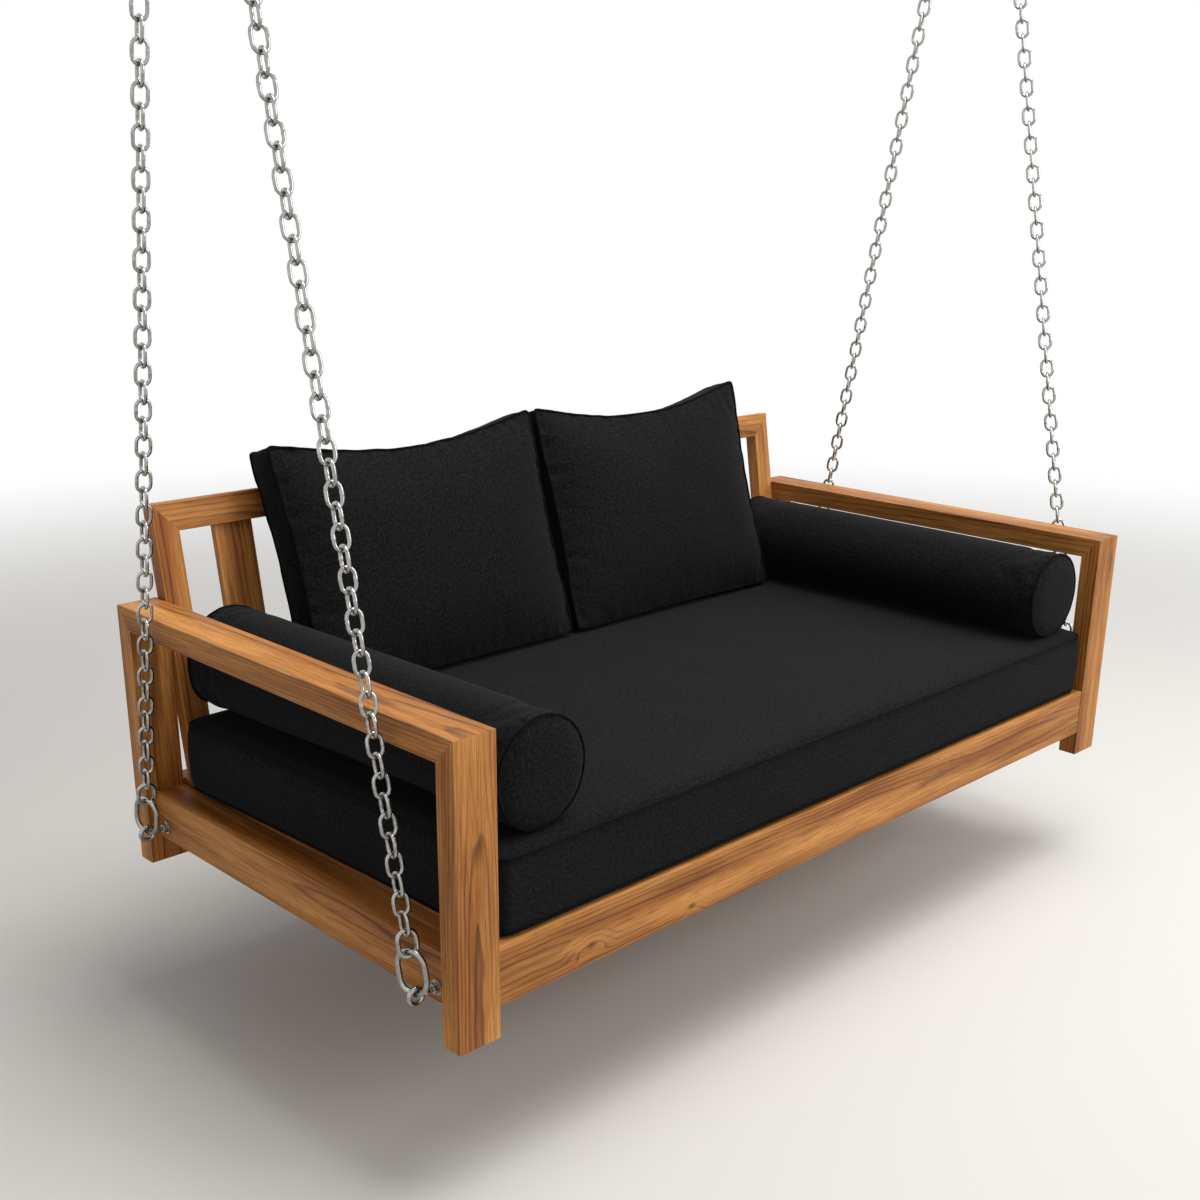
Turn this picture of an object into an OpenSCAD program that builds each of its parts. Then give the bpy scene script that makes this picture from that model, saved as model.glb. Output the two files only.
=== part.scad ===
// Hanging swing bed: a hardwood bed frame with mitred end frames and a raked
// slatted backrest, hung on four welded chains from two ceiling eyes, with a box
// mattress, two bolsters and two back cushions.
// Millimetres, +Z up, +X to the right, the front at -Y. The origin is at the
// centre of the whole object's footprint, at the height of the feet.

/* [End frames] */
// Length of the bed over the end frames
bed_l = 2080; // [1900:10:2300]
// Depth of the end frames, front to back
bed_d = 1055; // [950:5:1200]
// Height of the arms' top above the feet
arm_h = 550; // [500:5:620]
// Width of the posts and arms
post_w = 87; // [80:1:110]
// Thickness of the posts
post_t = 45; // [40:1:55]
// Thickness of the arms
arm_t = 47; // [40:1:55]

/* [Side rails] */
// Height of the side rails
rail_h = 96; // [84:1:120]
// Thickness of the side rails
rail_t = 45; // [38:1:50]
// Height of the side rails' lower edge above the feet
rail_z = 60; // [40:1:80]
// Set-back of the side rails from the end frames' outer faces
rail_set = 21; // [10:1:24]
// Length of the side rails' tenons
rail_tenon_l = 25; // [15:1:32]
// Thickness of the side rails' tenons
rail_tenon_t = 20; // [12:1:22]
// Shoulder above and below the side rails' tenons
rail_shoulder = 13; // [8:1:20]

/* [Aprons] */
// Height of the front and back aprons
apron_h = 110; // [95:1:130]
// Thickness of the aprons
apron_t = 43; // [36:1:43]
// Height of the aprons' lower edge above the feet
apron_z = 58; // [40:1:80]
// Set-back of the aprons from the posts' outer faces
apron_set = 2; // [0:0.5:6]
// Length of the aprons' tenons
apron_tenon_l = 28; // [18:1:30]
// Thickness of the aprons' tenons
apron_tenon_t = 18; // [12:1:22]
// Shoulder above and below the aprons' tenons
apron_shoulder = 15; // [8:1:20]

/* [Seat] */
// Width of the ledgers
ledger_w = 25; // [20:1:32]
// Height of the ledgers
ledger_h = 40; // [30:1:45]
// Number of seat slats
slat_n = 13; // [9:1:15]
// Width of a seat slat
slat_w = 70; // [50:1:95]
// Thickness of a seat slat
slat_t = 20; // [16:1:24]
// Width of the centre bearer
bearer_w = 40; // [30:1:60]
// Height of the centre bearer
bearer_h = 70; // [50:1:78]
// Depth of the housings that carry the centre bearer
housing_d = 12; // [8:1:18]
// Height of the side cleats
cleat_h = 40; // [30:1:50]
// Screws in each side cleat
cleat_screw_n = 4; // [2:2:8]

/* [Backrest] */
// Height of the backrest's front top edge above the feet
rest_h = 741; // [700:1:820]
// Rake of the backrest in degrees
rest_rake = 9.1; // [6:0.1:11]
// Distance of the backrest's foot in front of the back posts
rest_foot = 54.5; // [50:0.5:70]
// Thickness of the stiles and rails
rest_t = 34; // [22:1:38]
// Width of the stiles
stile_w = 55; // [45:1:70]
// Height of the top rail
top_rail_h = 60; // [45:1:75]
// Height of the bottom rail
low_rail_h = 66; // [55:1:80]
// Number of backrest slats
rest_slat_n = 10; // [6:1:12]
// Width of a backrest slat
rest_slat_w = 89; // [60:1:100]
// Thickness of a backrest slat
rest_slat_t = 15; // [10:1:17]
// Depth of the slats' housings in the rails
rest_housing = 12; // [8:1:20]
// Length of the bottom rail's tenons
rest_tenon_l = 20; // [14:1:30]
// Thickness of the bottom rail's tenons
rest_tenon_t = 9; // [7:1:12]
// Shoulder above and below the bottom rail's tenons
rest_shoulder = 14; // [8:1:18]
// Distance of the upper screws below the arms
rest_screw_drop = 12; // [9:1:20]
// Depth of the holes for the upper screws' heads
rest_screw_sink = 25; // [15:1:35]

/* [Loose splines] */
// Thickness of a spline
spline_t = 6; // [4:0.5:8]
// Width of a spline across its mitre
spline_w = 24; // [16:1:28]
// Distance from a mitre's ends to its spline
spline_stop = 9; // [6:1:14]

/* [Fasteners] */
// Shank diameter of the eye bolts
bolt_d = 10; // [8:0.5:12]
// Wire diameter of the eyes
eye_wire = 9.5; // [8:0.5:11]
// Centreline radius of the eyes
eye_r = 14; // [13:0.5:18]
// Distance of the eye bolts from the posts' inner faces
eye_from_post = 37.5; // [36:0.5:90]
// Height of the eye bolts above the feet
eye_z = 88; // [86:1:110]
// Diameter of the washers
washer_d = 28; // [24:1:30]
// Thickness of the washers
washer_t = 3; // [2:0.5:4]
// Width of the nuts across their corners
nut_d = 19.6; // [17:0.2:22]
// Thickness of the nuts
nut_t = 8; // [6:0.5:10]
// Thread that stands past the inner nuts
bolt_end = 8; // [4:1:20]
// Shank diameter of the wood screws
screw_d = 5; // [4:0.5:6]
// Head diameter of the wood screws
screw_head_d = 10; // [9:0.5:12]
// Length of the slat and ledger screws
screw_l = 40; // [34:1:45]
// Length of the backrest screws
long_screw_l = 80; // [70:1:90]
// Screws in each ledger
ledger_screw_n = 6; // [4:1:10]

/* [Chains] */
// Height of the hanging rings' centres above the feet
hang_h = 2500; // [2200:10:2700]
// Distance of the hanging rings behind the end frames' middle
hang_back = 40; // [0:1:60]
// Distance of the chains outside the end frames
chain_out = 24; // [22:1:40]
// Wire diameter of the chain
link_wire = 7; // [5:0.5:8]
// Nominal pitch of the chain
link_pitch = 33.1; // [28:0.1:40]
// Centreline width of a chain link
link_w = 26; // [24:0.5:30]
// Turn of the left chains about their own length at the bed in degrees
left_turn = -8; // [-25:1:0]
// Turn of the right chains about their own length at the bed in degrees
right_turn = 25; // [0:1:25]
// Turn of the chains at their hanging rings, where an end's two chains pass in degrees
top_turn = 22; // [20:1:25]
// Wire diameter of the oval rings
oval_wire = 10; // [8:0.5:10]
// Centreline width of an oval ring
oval_w = 56; // [44:1:64]
// Centreline height of an oval ring
oval_h = 76; // [66:1:90]
// Turn of the oval rings out of the end frames' plane in degrees
oval_turn = 15; // [0:1:15]
// Wire diameter of the connecting links
join_wire = 8.5; // [7:0.5:9]
// Centreline width of a connecting link
join_w = 32.5; // [30:0.5:36]
// Centreline height of a connecting link
join_h = 44.5; // [42:0.5:60]
// Turn of the connecting links out of the end frames' plane in degrees
join_turn = 75; // [70:1:100]
// Wire diameter of the hanging rings
ring_wire = 12; // [10:0.5:13]
// Centreline radius of the hanging rings
ring_r = 38; // [36:1:50]

/* [Ceiling eyes] */
// Wire diameter of the ceiling eyes
ceiling_wire = 12; // [10:0.5:14]
// Centreline radius of the ceiling eyes
ceiling_r = 20; // [20:1:30]
// Diameter of the collars
collar_d = 50; // [36:1:70]
// Thickness of the collars
collar_t = 5; // [3:0.5:8]
// Diameter of the threaded shanks
shank_d = 12; // [10:0.5:14]
// Length of the threaded shanks above the collars
shank_l = 80; // [60:1:120]

/* [Mattress] */
// Thickness of the mattress at its edges
mattress_t = 150; // [120:1:180]
// Rise of its top from the edges to the middle
mattress_crown = 8; // [3:0.5:20]
// Gap between the mattress and the posts
mattress_end_gap = 5; // [3:0.5:15]
// Distance of its front face behind the front of the posts
mattress_front_set = 7.5; // [3:0.5:20]
// Gap between the mattress and the backrest's foot
mattress_back_gap = 3; // [1:0.5:10]
// Radius of its upright corners
mattress_corner = 30; // [15:1:50]

/* [Bolsters] */
// Radius of a bolster
bolster_r = 105; // [80:1:110]
// Height of its domed ends
bolster_dome = 22; // [12:1:40]
// Gap between the bolsters and the end frames
bolster_side_gap = 16; // [14:1:60]
// Distance of the bolsters' front ends behind the front of the posts
bolster_set = 40.5; // [20:0.5:80]
// Gap between the bolsters' back ends and the backrest
bolster_back_gap = 3; // [2:0.5:80]
// Toe of the left bolster in degrees, its back end towards the arm
left_toe = 1.5; // [0:0.5:1.5]
// Depth of the flat on which a bolster lies
bolster_flat = 3; // [1:0.5:8]

/* [Back cushions] */
// Gap between the back cushions and the bolsters
cushion_side_gap = 6; // [4:0.5:40]
// Height of a back cushion
cushion_h = 542; // [480:1:600]
// Width of its boxing
cushion_box = 73; // [60:1:90]
// Swell of its front face at the middle
cushion_front = 45; // [25:1:60]
// Swell of its back face at the middle
cushion_back = 30; // [15:1:45]
// Lean of the cushions in degrees
cushion_lean = 17; // [14:0.5:20]
// How far their sides are drawn in between the corners
cushion_pull = 16; // [5:1:20]
// How far the mattress flattens their lower edge
cushion_settle = 18; // [10:1:24]
// Half of the gap between the two cushions
cushion_gap = 3; // [2:0.5:10]

/* [Clearances] */
// Gap around glued tenons, splines and housed ends
joint_gap = 0.2; // [0.1:0.05:0.4]
// Gap between a bolt or screw and its hole
bolt_gap = 0.25; // [0.1:0.05:0.5]
// Gap between links, rings and eyes that hang in each other
link_gap = 0.3; // [0.2:0.05:0.5]
// Gap between a soft piece and what it rests on
soft_gap = 0.3; // [0.2:0.05:0.5]

/* [Hidden] */

LEFT = -1;
RIGHT = 1;
FRONT = -1;
BACK = 1;
BORE_FN = 32;    // sides of small bores and shanks
WIRE_FN = 24;    // sides of bent wire
GRID = 20;       // steps across a cushion's face
MUCH = 4000;     // longer than any piece

// Lengths worked out from the driving sizes
inner_l = bed_l - 2 * post_w;                  // clear length between the end frames
inner_d = bed_d - 2 * post_t;                  // clear depth between the posts
rail_x = bed_l / 2 - rail_set - rail_t;        // side rails' inner faces
seat_z = apron_z + apron_h;                    // top of the aprons and seat slats
slat_z = seat_z - slat_t;                      // underside of the seat slats
apron_y = bed_d / 2 - apron_set - apron_t;     // aprons' inner faces
seat_end = 3;                                  // gap past the ledgers' and slats' ends
cleat_x = inner_l / 2 - seat_end + 1;          // side cleats' inner faces, 1 mm from the slats
slat_step = (inner_l - 2 * seat_end - slat_w) / (slat_n - 1);
slat_screw_y = apron_y - ledger_w / 2;         // screws through the slats' ends
eye_y = inner_d / 2 - eye_from_post;           // eye bolts, from the middle
chain_x = bed_l / 2 + chain_out;               // chains, rings and ceiling eyes

// The backrest, drawn upright and then raked about its foot
rest_y = inner_d / 2 - rest_foot;              // its front face at the seat
rest_l = (rest_h - seat_z) / cos(rest_rake);   // its height along the rake
rest_below = 30;                               // drawn below the seat and cut off level
rest_in = inner_l / 2 - stile_w;               // stiles' inner edges
rest_gap = (2 * rest_in - rest_slat_n * rest_slat_w) / (rest_slat_n + 1);
rest_screw_h = (arm_h - arm_t - rest_screw_drop - seat_z + rest_t / 2 * sin(rest_rake))
    / cos(rest_rake);                          // height of the upper screws, along the rake
rest_reach = rest_y + rest_l * sin(rest_rake) + rest_t * cos(rest_rake);

// The middle of the end frames, so that the origin is in the middle of all
mid_y = -max(0, rest_reach - bed_d / 2) / 2;

// The chains, from the oval rings in the eyes to the hanging rings
chain_z = eye_z + eye_r - eye_wire / 2 - link_gap - oval_wire / 2;
join_s = oval_h - (oval_wire + join_wire) / 2 - link_gap;
link_s = join_s + join_h - (join_wire + link_wire) / 2 - link_gap;
ring_hold = ring_r - (ring_wire + link_wire) / 2 - link_gap;
swing_z = hang_h + ring_r - (ring_wire + ceiling_wire) / 2 - link_gap;
collar_z = swing_z + 2 * ceiling_r + ceiling_wire / 2 - collar_t / 2;

// The soft pieces
bolster_x = inner_l / 2 - bolster_side_gap - bolster_r;    // their middle lines
mattress_w = inner_l - 2 * mattress_end_gap;
mattress_front = -bed_d / 2 + mattress_front_set;
mattress_back = rest_y - mattress_back_gap;
mattress_d = mattress_back - mattress_front;
mattress_y = (mattress_front + mattress_back) / 2;
mattress_z = seat_z + soft_gap;
mattress_top = mattress_z + mattress_t + mattress_crown;
mattress_even = 12;      // how evenly a mattress holds its height, from 2
cushion_even = 2.6;      // the same of a back cushion
swell_power = 0.6;       // roundness of a swell's shoulders
boxing_draw = 2;         // how far a boxing draws in between its seams
cushion_z = mattress_top + soft_gap - cushion_settle
    + cushion_h / 2 * cos(cushion_lean) + cushion_box / 2 * sin(cushion_lean);
cushion_w = bolster_x - bolster_r - cushion_side_gap - cushion_gap;
bolster_half_flat = sqrt(bolster_r ^ 2 - (bolster_r - bolster_flat) ^ 2);
bolster_z = mattress_z + mattress_t + soft_gap + bolster_r - bolster_flat
    + mattress_crown * swell((bolster_x - bolster_half_flat) / (mattress_w / 2), 0, mattress_even);
bolster_front = -bed_d / 2 + bolster_set;
bolster_draw = 4;        // how far the bolsters' end seams draw in
bolster_reach = norm([bolster_dome, (bolster_r - bolster_draw) * tan(rest_rake)]); // dome towards the rake
bolster_back = rest_y + (bolster_z - seat_z) * tan(rest_rake) - bolster_back_gap
    - bolster_reach + bolster_dome;
bolster_l = bolster_back - bolster_front;
bolster_y = (bolster_front + bolster_back) / 2;

// Height of a cushion's face at u, v from -1 to 1, from 0 at its seams to 1
function swell(u, v, even) =
    ((1 - abs(u) ^ even) * (1 - abs(v) ^ even)) ^ swell_power;

// Steps across a face, closer near the seams
function step_at(i) = sin(180 * i / GRID - 90);

// How far back a cushion goes until it meets the raked backrest
function seat_back_y() = min([for (v = [-1:0.02:1])
    let (t = cushion_box / 2 + cushion_back * swell(0, v, cushion_even))
    let (h = v * cushion_h / 2)
    let (z = cushion_z + h * cos(cushion_lean) - t * sin(cushion_lean))
    if (z < rest_h) rest_y + (z - seat_z) * tan(rest_rake)
        - h * sin(cushion_lean) - t * cos(cushion_lean)]) - soft_gap;
cushion_y = seat_back_y();

// Wood and metal shapes that repeat

// Places a piece drawn for the left front corner
module at_corner(side, face)
    translate([0, mid_y, 0])
        mirror([side == RIGHT ? 1 : 0, 0, 0])
            mirror([0, face == BACK ? 1 : 0, 0])
                children();

// An outline of (y, z) points, x0 to x0 + w
module across(x0, w, points)
    translate([x0, 0, 0])
        rotate([90, 0, 90])
            linear_extrude(w)
                polygon(points);

// A block from one corner to the other
module block(low, high)
    translate(low)
        cube(high - low);

// A rod along X, Y or Z from a point
module rod(from, d, l, turn)
    translate(from)
        rotate(turn)
            cylinder(d = d, h = l, $fn = BORE_FN);

// A ring of wire in the XZ plane
module wire_ring(r, wire)
    rotate([90, 0, 0])
        rotate_extrude($fn = 64)
            translate([r, 0])
                circle(d = wire, $fn = WIRE_FN);

// A welded link of wire in the XZ plane, by its centreline's width and height.
// Its straight sides end on a hundredth of a millimetre, so that they meet the bends.
module link(w, h, wire) {
    half = round(50 * (h - w)) / 100;
    for (s = [-1, 1])
        translate([0, 0, s * half])
            rotate([90, 0, 0])
                rotate([0, 0, s > 0 ? 0 : 180])
                    rotate_extrude(angle = 180, $fn = 48)
                        translate([w / 2, 0])
                            circle(d = wire, $fn = WIRE_FN);
    for (s = [-1, 1])
        translate([s * w / 2, 0, -half])
            cylinder(d = wire, h = 2 * half, $fn = WIRE_FN);
}

// A countersunk wood screw, pointing along +Z, its head's top at the origin
module screw(l, grow = 0) {
    sink = (screw_head_d - screw_d) / 2;
    cylinder(d = screw_d + 2 * grow, h = l + grow, $fn = BORE_FN);
    cylinder(d1 = screw_head_d + 2 * grow, d2 = screw_d + 2 * grow, h = sink, $fn = BORE_FN);
}

// End frames: posts, arms and side rails

module corner_spline(grow)
    translate([-bed_l / 2 + post_w / 2, -bed_d / 2 + post_t / 2, arm_h - arm_t / 2])
        rotate([atan2(post_t, arm_t), 0, 0])
            cube([post_w - 2 * spline_stop, spline_w, spline_t] + 2 * grow * [1, 1, 1], center = true);

module rail_tenon(grow)
    block([-rail_x - rail_t / 2 - rail_tenon_t / 2, -inner_d / 2 - rail_tenon_l, rail_z + rail_shoulder]
            - grow * [1, 1, 1],
        [-rail_x - rail_t / 2 + rail_tenon_t / 2, -inner_d / 2 + 1, rail_z + rail_h - rail_shoulder]
            + grow * [1, 0, 1]);

module apron_tenon(grow)
    block([-inner_l / 2 - apron_tenon_l, -apron_y - apron_t / 2 - apron_tenon_t / 2, apron_z + apron_shoulder]
            - grow * [1, 1, 1],
        [-inner_l / 2 + 1, -apron_y - apron_t / 2 + apron_tenon_t / 2, apron_z + apron_h - apron_shoulder]
            + grow * [0, 1, 1]);

module post(side, face)
    color("peru")
        difference() {
            at_corner(side, face)
                difference() {
                    across(-bed_l / 2, post_w, [
                        [-bed_d / 2, 0],
                        [-inner_d / 2, 0],
                        [-inner_d / 2, arm_h - arm_t],
                        [-bed_d / 2, arm_h]
                    ]);
                    corner_spline(joint_gap);
                    rail_tenon(joint_gap);
                    apron_tenon(joint_gap);
                }
            if (face == BACK)
                post_screw(side, bolt_gap);
        }

module arm(side)
    color("peru")
        difference() {
            at_corner(side, FRONT)
                across(-bed_l / 2, post_w, [
                    [-bed_d / 2, arm_h],
                    [-inner_d / 2, arm_h - arm_t],
                    [inner_d / 2, arm_h - arm_t],
                    [bed_d / 2, arm_h]
                ]);
            for (face = [FRONT, BACK])
                at_corner(side, face)
                    corner_spline(joint_gap);
        }

module side_rail(side)
    color("peru")
        at_corner(side, FRONT)
            difference() {
                union() {
                    block([-rail_x - rail_t, -inner_d / 2, rail_z],
                        [-rail_x, inner_d / 2, rail_z + rail_h]);
                    rail_tenon(0);
                    mirror([0, 1, 0])
                        rail_tenon(0);
                }
                for (y = [-eye_y, eye_y])
                    rod([-rail_x - rail_t - 1, y, eye_z], bolt_d + 2 * bolt_gap, rail_t + 2, [0, 90, 0]);
                bearer(joint_gap);
                cleat_screw_row(bolt_gap);
            }

// Aprons, ledgers, side cleats, bearer and slats

module apron_body()
    block([-inner_l / 2, -apron_y - apron_t, apron_z], [inner_l / 2, -apron_y, seat_z]);

module apron(face)
    color("peru")
        at_corner(LEFT, face)
            difference() {
                union() {
                    apron_body();
                    apron_tenon(0);
                    mirror([1, 0, 0])
                        apron_tenon(0);
                }
                ledger_screw_row(bolt_gap);
            }

module ledger(face)
    color("burlywood")
        at_corner(LEFT, face)
            difference() {
                block([-inner_l / 2 + seat_end, -apron_y, slat_z - ledger_h],
                    [inner_l / 2 - seat_end, -apron_y + ledger_w, slat_z]);
                ledger_screw_row(bolt_gap);
                slat_screw_row(bolt_gap);
            }

// One ledger's screws, driven through it into the apron
module ledger_screw_row(grow) {
    row = inner_l - 2 * slat_step;
    for (i = [0 : ledger_screw_n - 1])
        translate([-row / 2 + row * i / (ledger_screw_n - 1), -apron_y + ledger_w, slat_z - ledger_h / 2])
            rotate([90, 0, 0])
                screw(screw_l, grow);
}

// One screw through each slat's front end into the ledger
module slat_screw_row(grow)
    for (i = [0 : slat_n - 1])
        translate([(i - (slat_n - 1) / 2) * slat_step, -slat_screw_y, seat_z])
            rotate([180, 0, 0])
                screw(screw_l, grow);

// A cleat along the side rail's inner face, flush with its top, notched over the bearer
module side_cleat(side)
    color("peru")
        at_corner(side, FRONT)
            difference() {
                block([-rail_x, -inner_d / 2, rail_z + rail_h - cleat_h],
                    [-cleat_x, inner_d / 2, rail_z + rail_h]);
                bearer(joint_gap);
                cleat_screw_row(bolt_gap);
            }

// One cleat's screws, driven through it into the side rail
module cleat_screw_row(grow) {
    row = 2 * eye_y;
    for (i = [0 : cleat_screw_n - 1])
        translate([-cleat_x, -row / 2 + row * i / (cleat_screw_n - 1), rail_z + rail_h - cleat_h / 2])
            rotate([0, -90, 0])
                screw(screw_l, grow);
}

module bearer(grow)
    block([-rail_x - housing_d, -bearer_w / 2, slat_z - bearer_h] - grow * [1, 1, 1],
        [rail_x + housing_d, bearer_w / 2, slat_z] + grow * [1, 1, 1]);

module center_bearer()
    color("burlywood")
        translate([0, mid_y, 0])
            bearer(0);

module seat_slats()
    color("peru")
        difference() {
            translate([0, mid_y, slat_z])
                for (i = [0 : slat_n - 1])
                    translate([(i - (slat_n - 1) / 2) * slat_step - slat_w / 2, -apron_y + seat_end, 0])
                        cube([slat_w, 2 * (apron_y - seat_end), slat_t]);
            for (face = [FRONT, BACK])
                at_corner(LEFT, face)
                    slat_screw_row(bolt_gap);
            for (side = [LEFT, RIGHT])
                foot_screw(side, bolt_gap);
        }

// Backrest

// Rakes what is drawn upright and cuts its foot level with the seat
module raked()
    intersection() {
        translate([0, mid_y + rest_y, seat_z])
            rotate([-rest_rake, 0, 0])
                children();
        translate([-MUCH / 2, -MUCH / 2, seat_z])
            cube(MUCH);
    }

// An outline of (x, z) points as thick as the backrest
module panel(points)
    translate([0, rest_t, 0])
        rotate([90, 0, 0])
            linear_extrude(rest_t)
                polygon(points);

module rest_spline(side, grow)
    translate([side * (inner_l / 2 - stile_w / 2), rest_t / 2, rest_l - top_rail_h / 2])
        rotate([0, -side * atan2(top_rail_h, stile_w), 0])
            cube([norm([stile_w, top_rail_h]) - 2 * spline_stop, spline_t, spline_w]
                + 2 * grow * [1, 1, 1], center = true);

module rest_tenon(side, grow)
    translate([side * (rest_in + (rest_tenon_l + grow) / 2 - 1), rest_t / 2, low_rail_h / 2])
        cube([rest_tenon_l + grow + 2, rest_tenon_t + 2 * grow, low_rail_h - 2 * rest_shoulder + 2 * grow],
            center = true);

// The raked slats' solids, and with grow the housings that hold them
module rest_slat_row(grow)
    for (i = [0 : rest_slat_n - 1])
        translate([-rest_in + rest_gap + i * (rest_gap + rest_slat_w) - grow,
                (rest_t - rest_slat_t) / 2 - grow, low_rail_h - rest_housing - grow])
            cube([rest_slat_w, rest_slat_t, rest_l - top_rail_h - low_rail_h + 2 * rest_housing]
                + 2 * grow * [1, 1, 1]);

// A long screw from a deep hole in the stile into the back post
module post_screw(side, grow)
    translate([0, mid_y + rest_y, seat_z])
        rotate([-rest_rake, 0, 0])
            translate([side * (inner_l / 2 - stile_w + rest_screw_sink), rest_t / 2, rest_screw_h])
                rotate([0, side * 90, 0])
                    screw(long_screw_l, grow);

// A screw up through the end slat into the stile's foot
module foot_screw(side, grow)
    translate([side * (inner_l / 2 - stile_w / 2), mid_y + rest_y + rest_t / 2, slat_z])
        screw(long_screw_l, grow);

module backrest_stile(side)
    color("peru")
        difference() {
            raked()
                difference() {
                    panel([
                        [side * inner_l / 2, -rest_below],
                        [side * rest_in, -rest_below],
                        [side * rest_in, rest_l - top_rail_h],
                        [side * inner_l / 2, rest_l]
                    ]);
                    rest_spline(side, joint_gap);
                    rest_tenon(side, joint_gap);
                    translate([side * (rest_in - 1), rest_t / 2, rest_screw_h])
                        rotate([0, side * 90, 0])
                            cylinder(d = screw_head_d + 2 * bolt_gap, h = rest_screw_sink + 1, $fn = BORE_FN);
                }
            post_screw(side, bolt_gap);
            foot_screw(side, bolt_gap);
        }

module backrest_top_rail()
    color("peru")
        raked()
            difference() {
                panel([
                    [-inner_l / 2, rest_l],
                    [-rest_in, rest_l - top_rail_h],
                    [rest_in, rest_l - top_rail_h],
                    [inner_l / 2, rest_l]
                ]);
                rest_slat_row(joint_gap);
                for (side = [LEFT, RIGHT])
                    rest_spline(side, joint_gap);
            }

module backrest_bottom_rail()
    color("peru")
        raked()
            difference() {
                union() {
                    panel([
                        [-rest_in, -rest_below],
                        [rest_in, -rest_below],
                        [rest_in, low_rail_h],
                        [-rest_in, low_rail_h]
                    ]);
                    for (side = [LEFT, RIGHT])
                        rest_tenon(side, 0);
                }
                rest_slat_row(joint_gap);
            }

module backrest_slats()
    color("peru")
        raked()
            rest_slat_row(0);

// Splines and wood screws

module mitre_splines()
    color("tan")
        for (side = [LEFT, RIGHT])
            for (face = [FRONT, BACK])
                at_corner(side, face)
                    corner_spline(0);

module backrest_splines()
    color("tan")
        raked()
            for (side = [LEFT, RIGHT])
                rest_spline(side, 0);

module slat_screws()
    color("silver")
        for (face = [FRONT, BACK])
            at_corner(LEFT, face)
                slat_screw_row(0);

module ledger_screws()
    color("silver")
        for (face = [FRONT, BACK])
            at_corner(LEFT, face)
                ledger_screw_row(0);

module cleat_screws()
    color("silver")
        for (side = [LEFT, RIGHT])
            at_corner(side, FRONT)
                cleat_screw_row(0);

module backrest_screws()
    color("silver")
        for (side = [LEFT, RIGHT]) {
            post_screw(side, 0);
            foot_screw(side, 0);
        }

// Eye bolts with their washers and nuts

module at_eye_bolts()
    for (side = [LEFT, RIGHT])
        for (face = [FRONT, BACK])
            at_corner(side, face)
                translate([0, -eye_y, eye_z])
                    children();

module eye_bolts()
    color("lightgray")
        at_eye_bolts() {
            translate([-chain_x, 0, 0])
                wire_ring(eye_r, eye_wire);
            rod([-chain_x + eye_r, 0, 0], bolt_d,
                chain_x - eye_r - rail_x + washer_t + nut_t + bolt_end, [0, 90, 0]);
        }

module eye_bolt_washers()
    color("lightgray")
        at_eye_bolts()
            for (x = [-rail_x - rail_t - washer_t, -rail_x])
                difference() {
                    rod([x, 0, 0], washer_d, washer_t, [0, 90, 0]);
                    rod([x - 1, 0, 0], bolt_d + 2 * bolt_gap, washer_t + 2, [0, 90, 0]);
                }

module eye_bolt_nuts()
    color("lightgray")
        at_eye_bolts()
            for (x = [-rail_x - rail_t - washer_t - nut_t, -rail_x + washer_t])
                difference() {
                    translate([x, 0, 0])
                        rotate([0, 90, 0])
                            cylinder(d = nut_d, h = nut_t, $fn = 6);
                    rod([x - 1, 0, 0], bolt_d + 2 * bolt_gap, nut_t + 2, [0, 90, 0]);
                }

// Chains and their rings

// Places what is drawn up +Z on a chain's line, from its eye to its hanging ring
module on_chain(side, face) {
    run = hang_back - face * eye_y;
    rise = hang_h - chain_z;
    translate([side * chain_x, mid_y + face * eye_y, chain_z])
        rotate([-atan2(run, rise), 0, 0])
            children();
}

function chain_span(face) = norm([hang_back - face * eye_y, hang_h - chain_z]) - ring_hold - link_s;

module oval_ring(side, face)
    color("lightgray")
        on_chain(side, face)
            rotate([0, 0, 90 - side * oval_turn])
                translate([0, 0, oval_h / 2])
                    link(oval_w, oval_h, oval_wire);

module connecting_link(side, face)
    color("lightgray")
        on_chain(side, face)
            rotate([0, 0, 90 - side * join_turn])
                translate([0, 0, join_s + join_h / 2])
                    link(join_w, join_h, join_wire);

// An even number of links, the first across the connecting link. They keep their turn
// up from the bed and ease into the turn at the ring near their top.
module chain(side, face) {
    hold = link_wire + link_gap;
    count = 2 * round((chain_span(face) - hold) / link_pitch / 2);
    pitch = (chain_span(face) - hold) / count;
    turn = side == LEFT ? left_turn : right_turn;
    ease = 4;    // the higher, the nearer the ring the turn changes
    color("silver")
        on_chain(side, face)
            for (i = [0 : count - 1])
                translate([0, 0, link_s + i * pitch + (pitch + hold) / 2])
                    rotate([0, 0, turn + (side * top_turn - turn) * (i / (count - 1)) ^ ease + 90 * (i + 1)])
                        link(link_w, pitch + hold, link_wire);
}

module hanging_ring(side)
    color("lightgray")
        translate([side * chain_x, mid_y + hang_back, hang_h])
            rotate([0, 0, 90])
                wire_ring(ring_r, ring_wire);

module ceiling_eye(side)
    color("lightgray")
        translate([side * chain_x, mid_y + hang_back, 0]) {
            translate([0, 0, swing_z + ceiling_r])
                wire_ring(ceiling_r, ceiling_wire);
            translate([0, 0, collar_z])
                cylinder(d = collar_d, h = collar_t, $fn = 64);
            rod([0, 0, collar_z], shank_d, collar_t + shank_l, [0, 0, 0]);
        }

// Soft pieces

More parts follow.
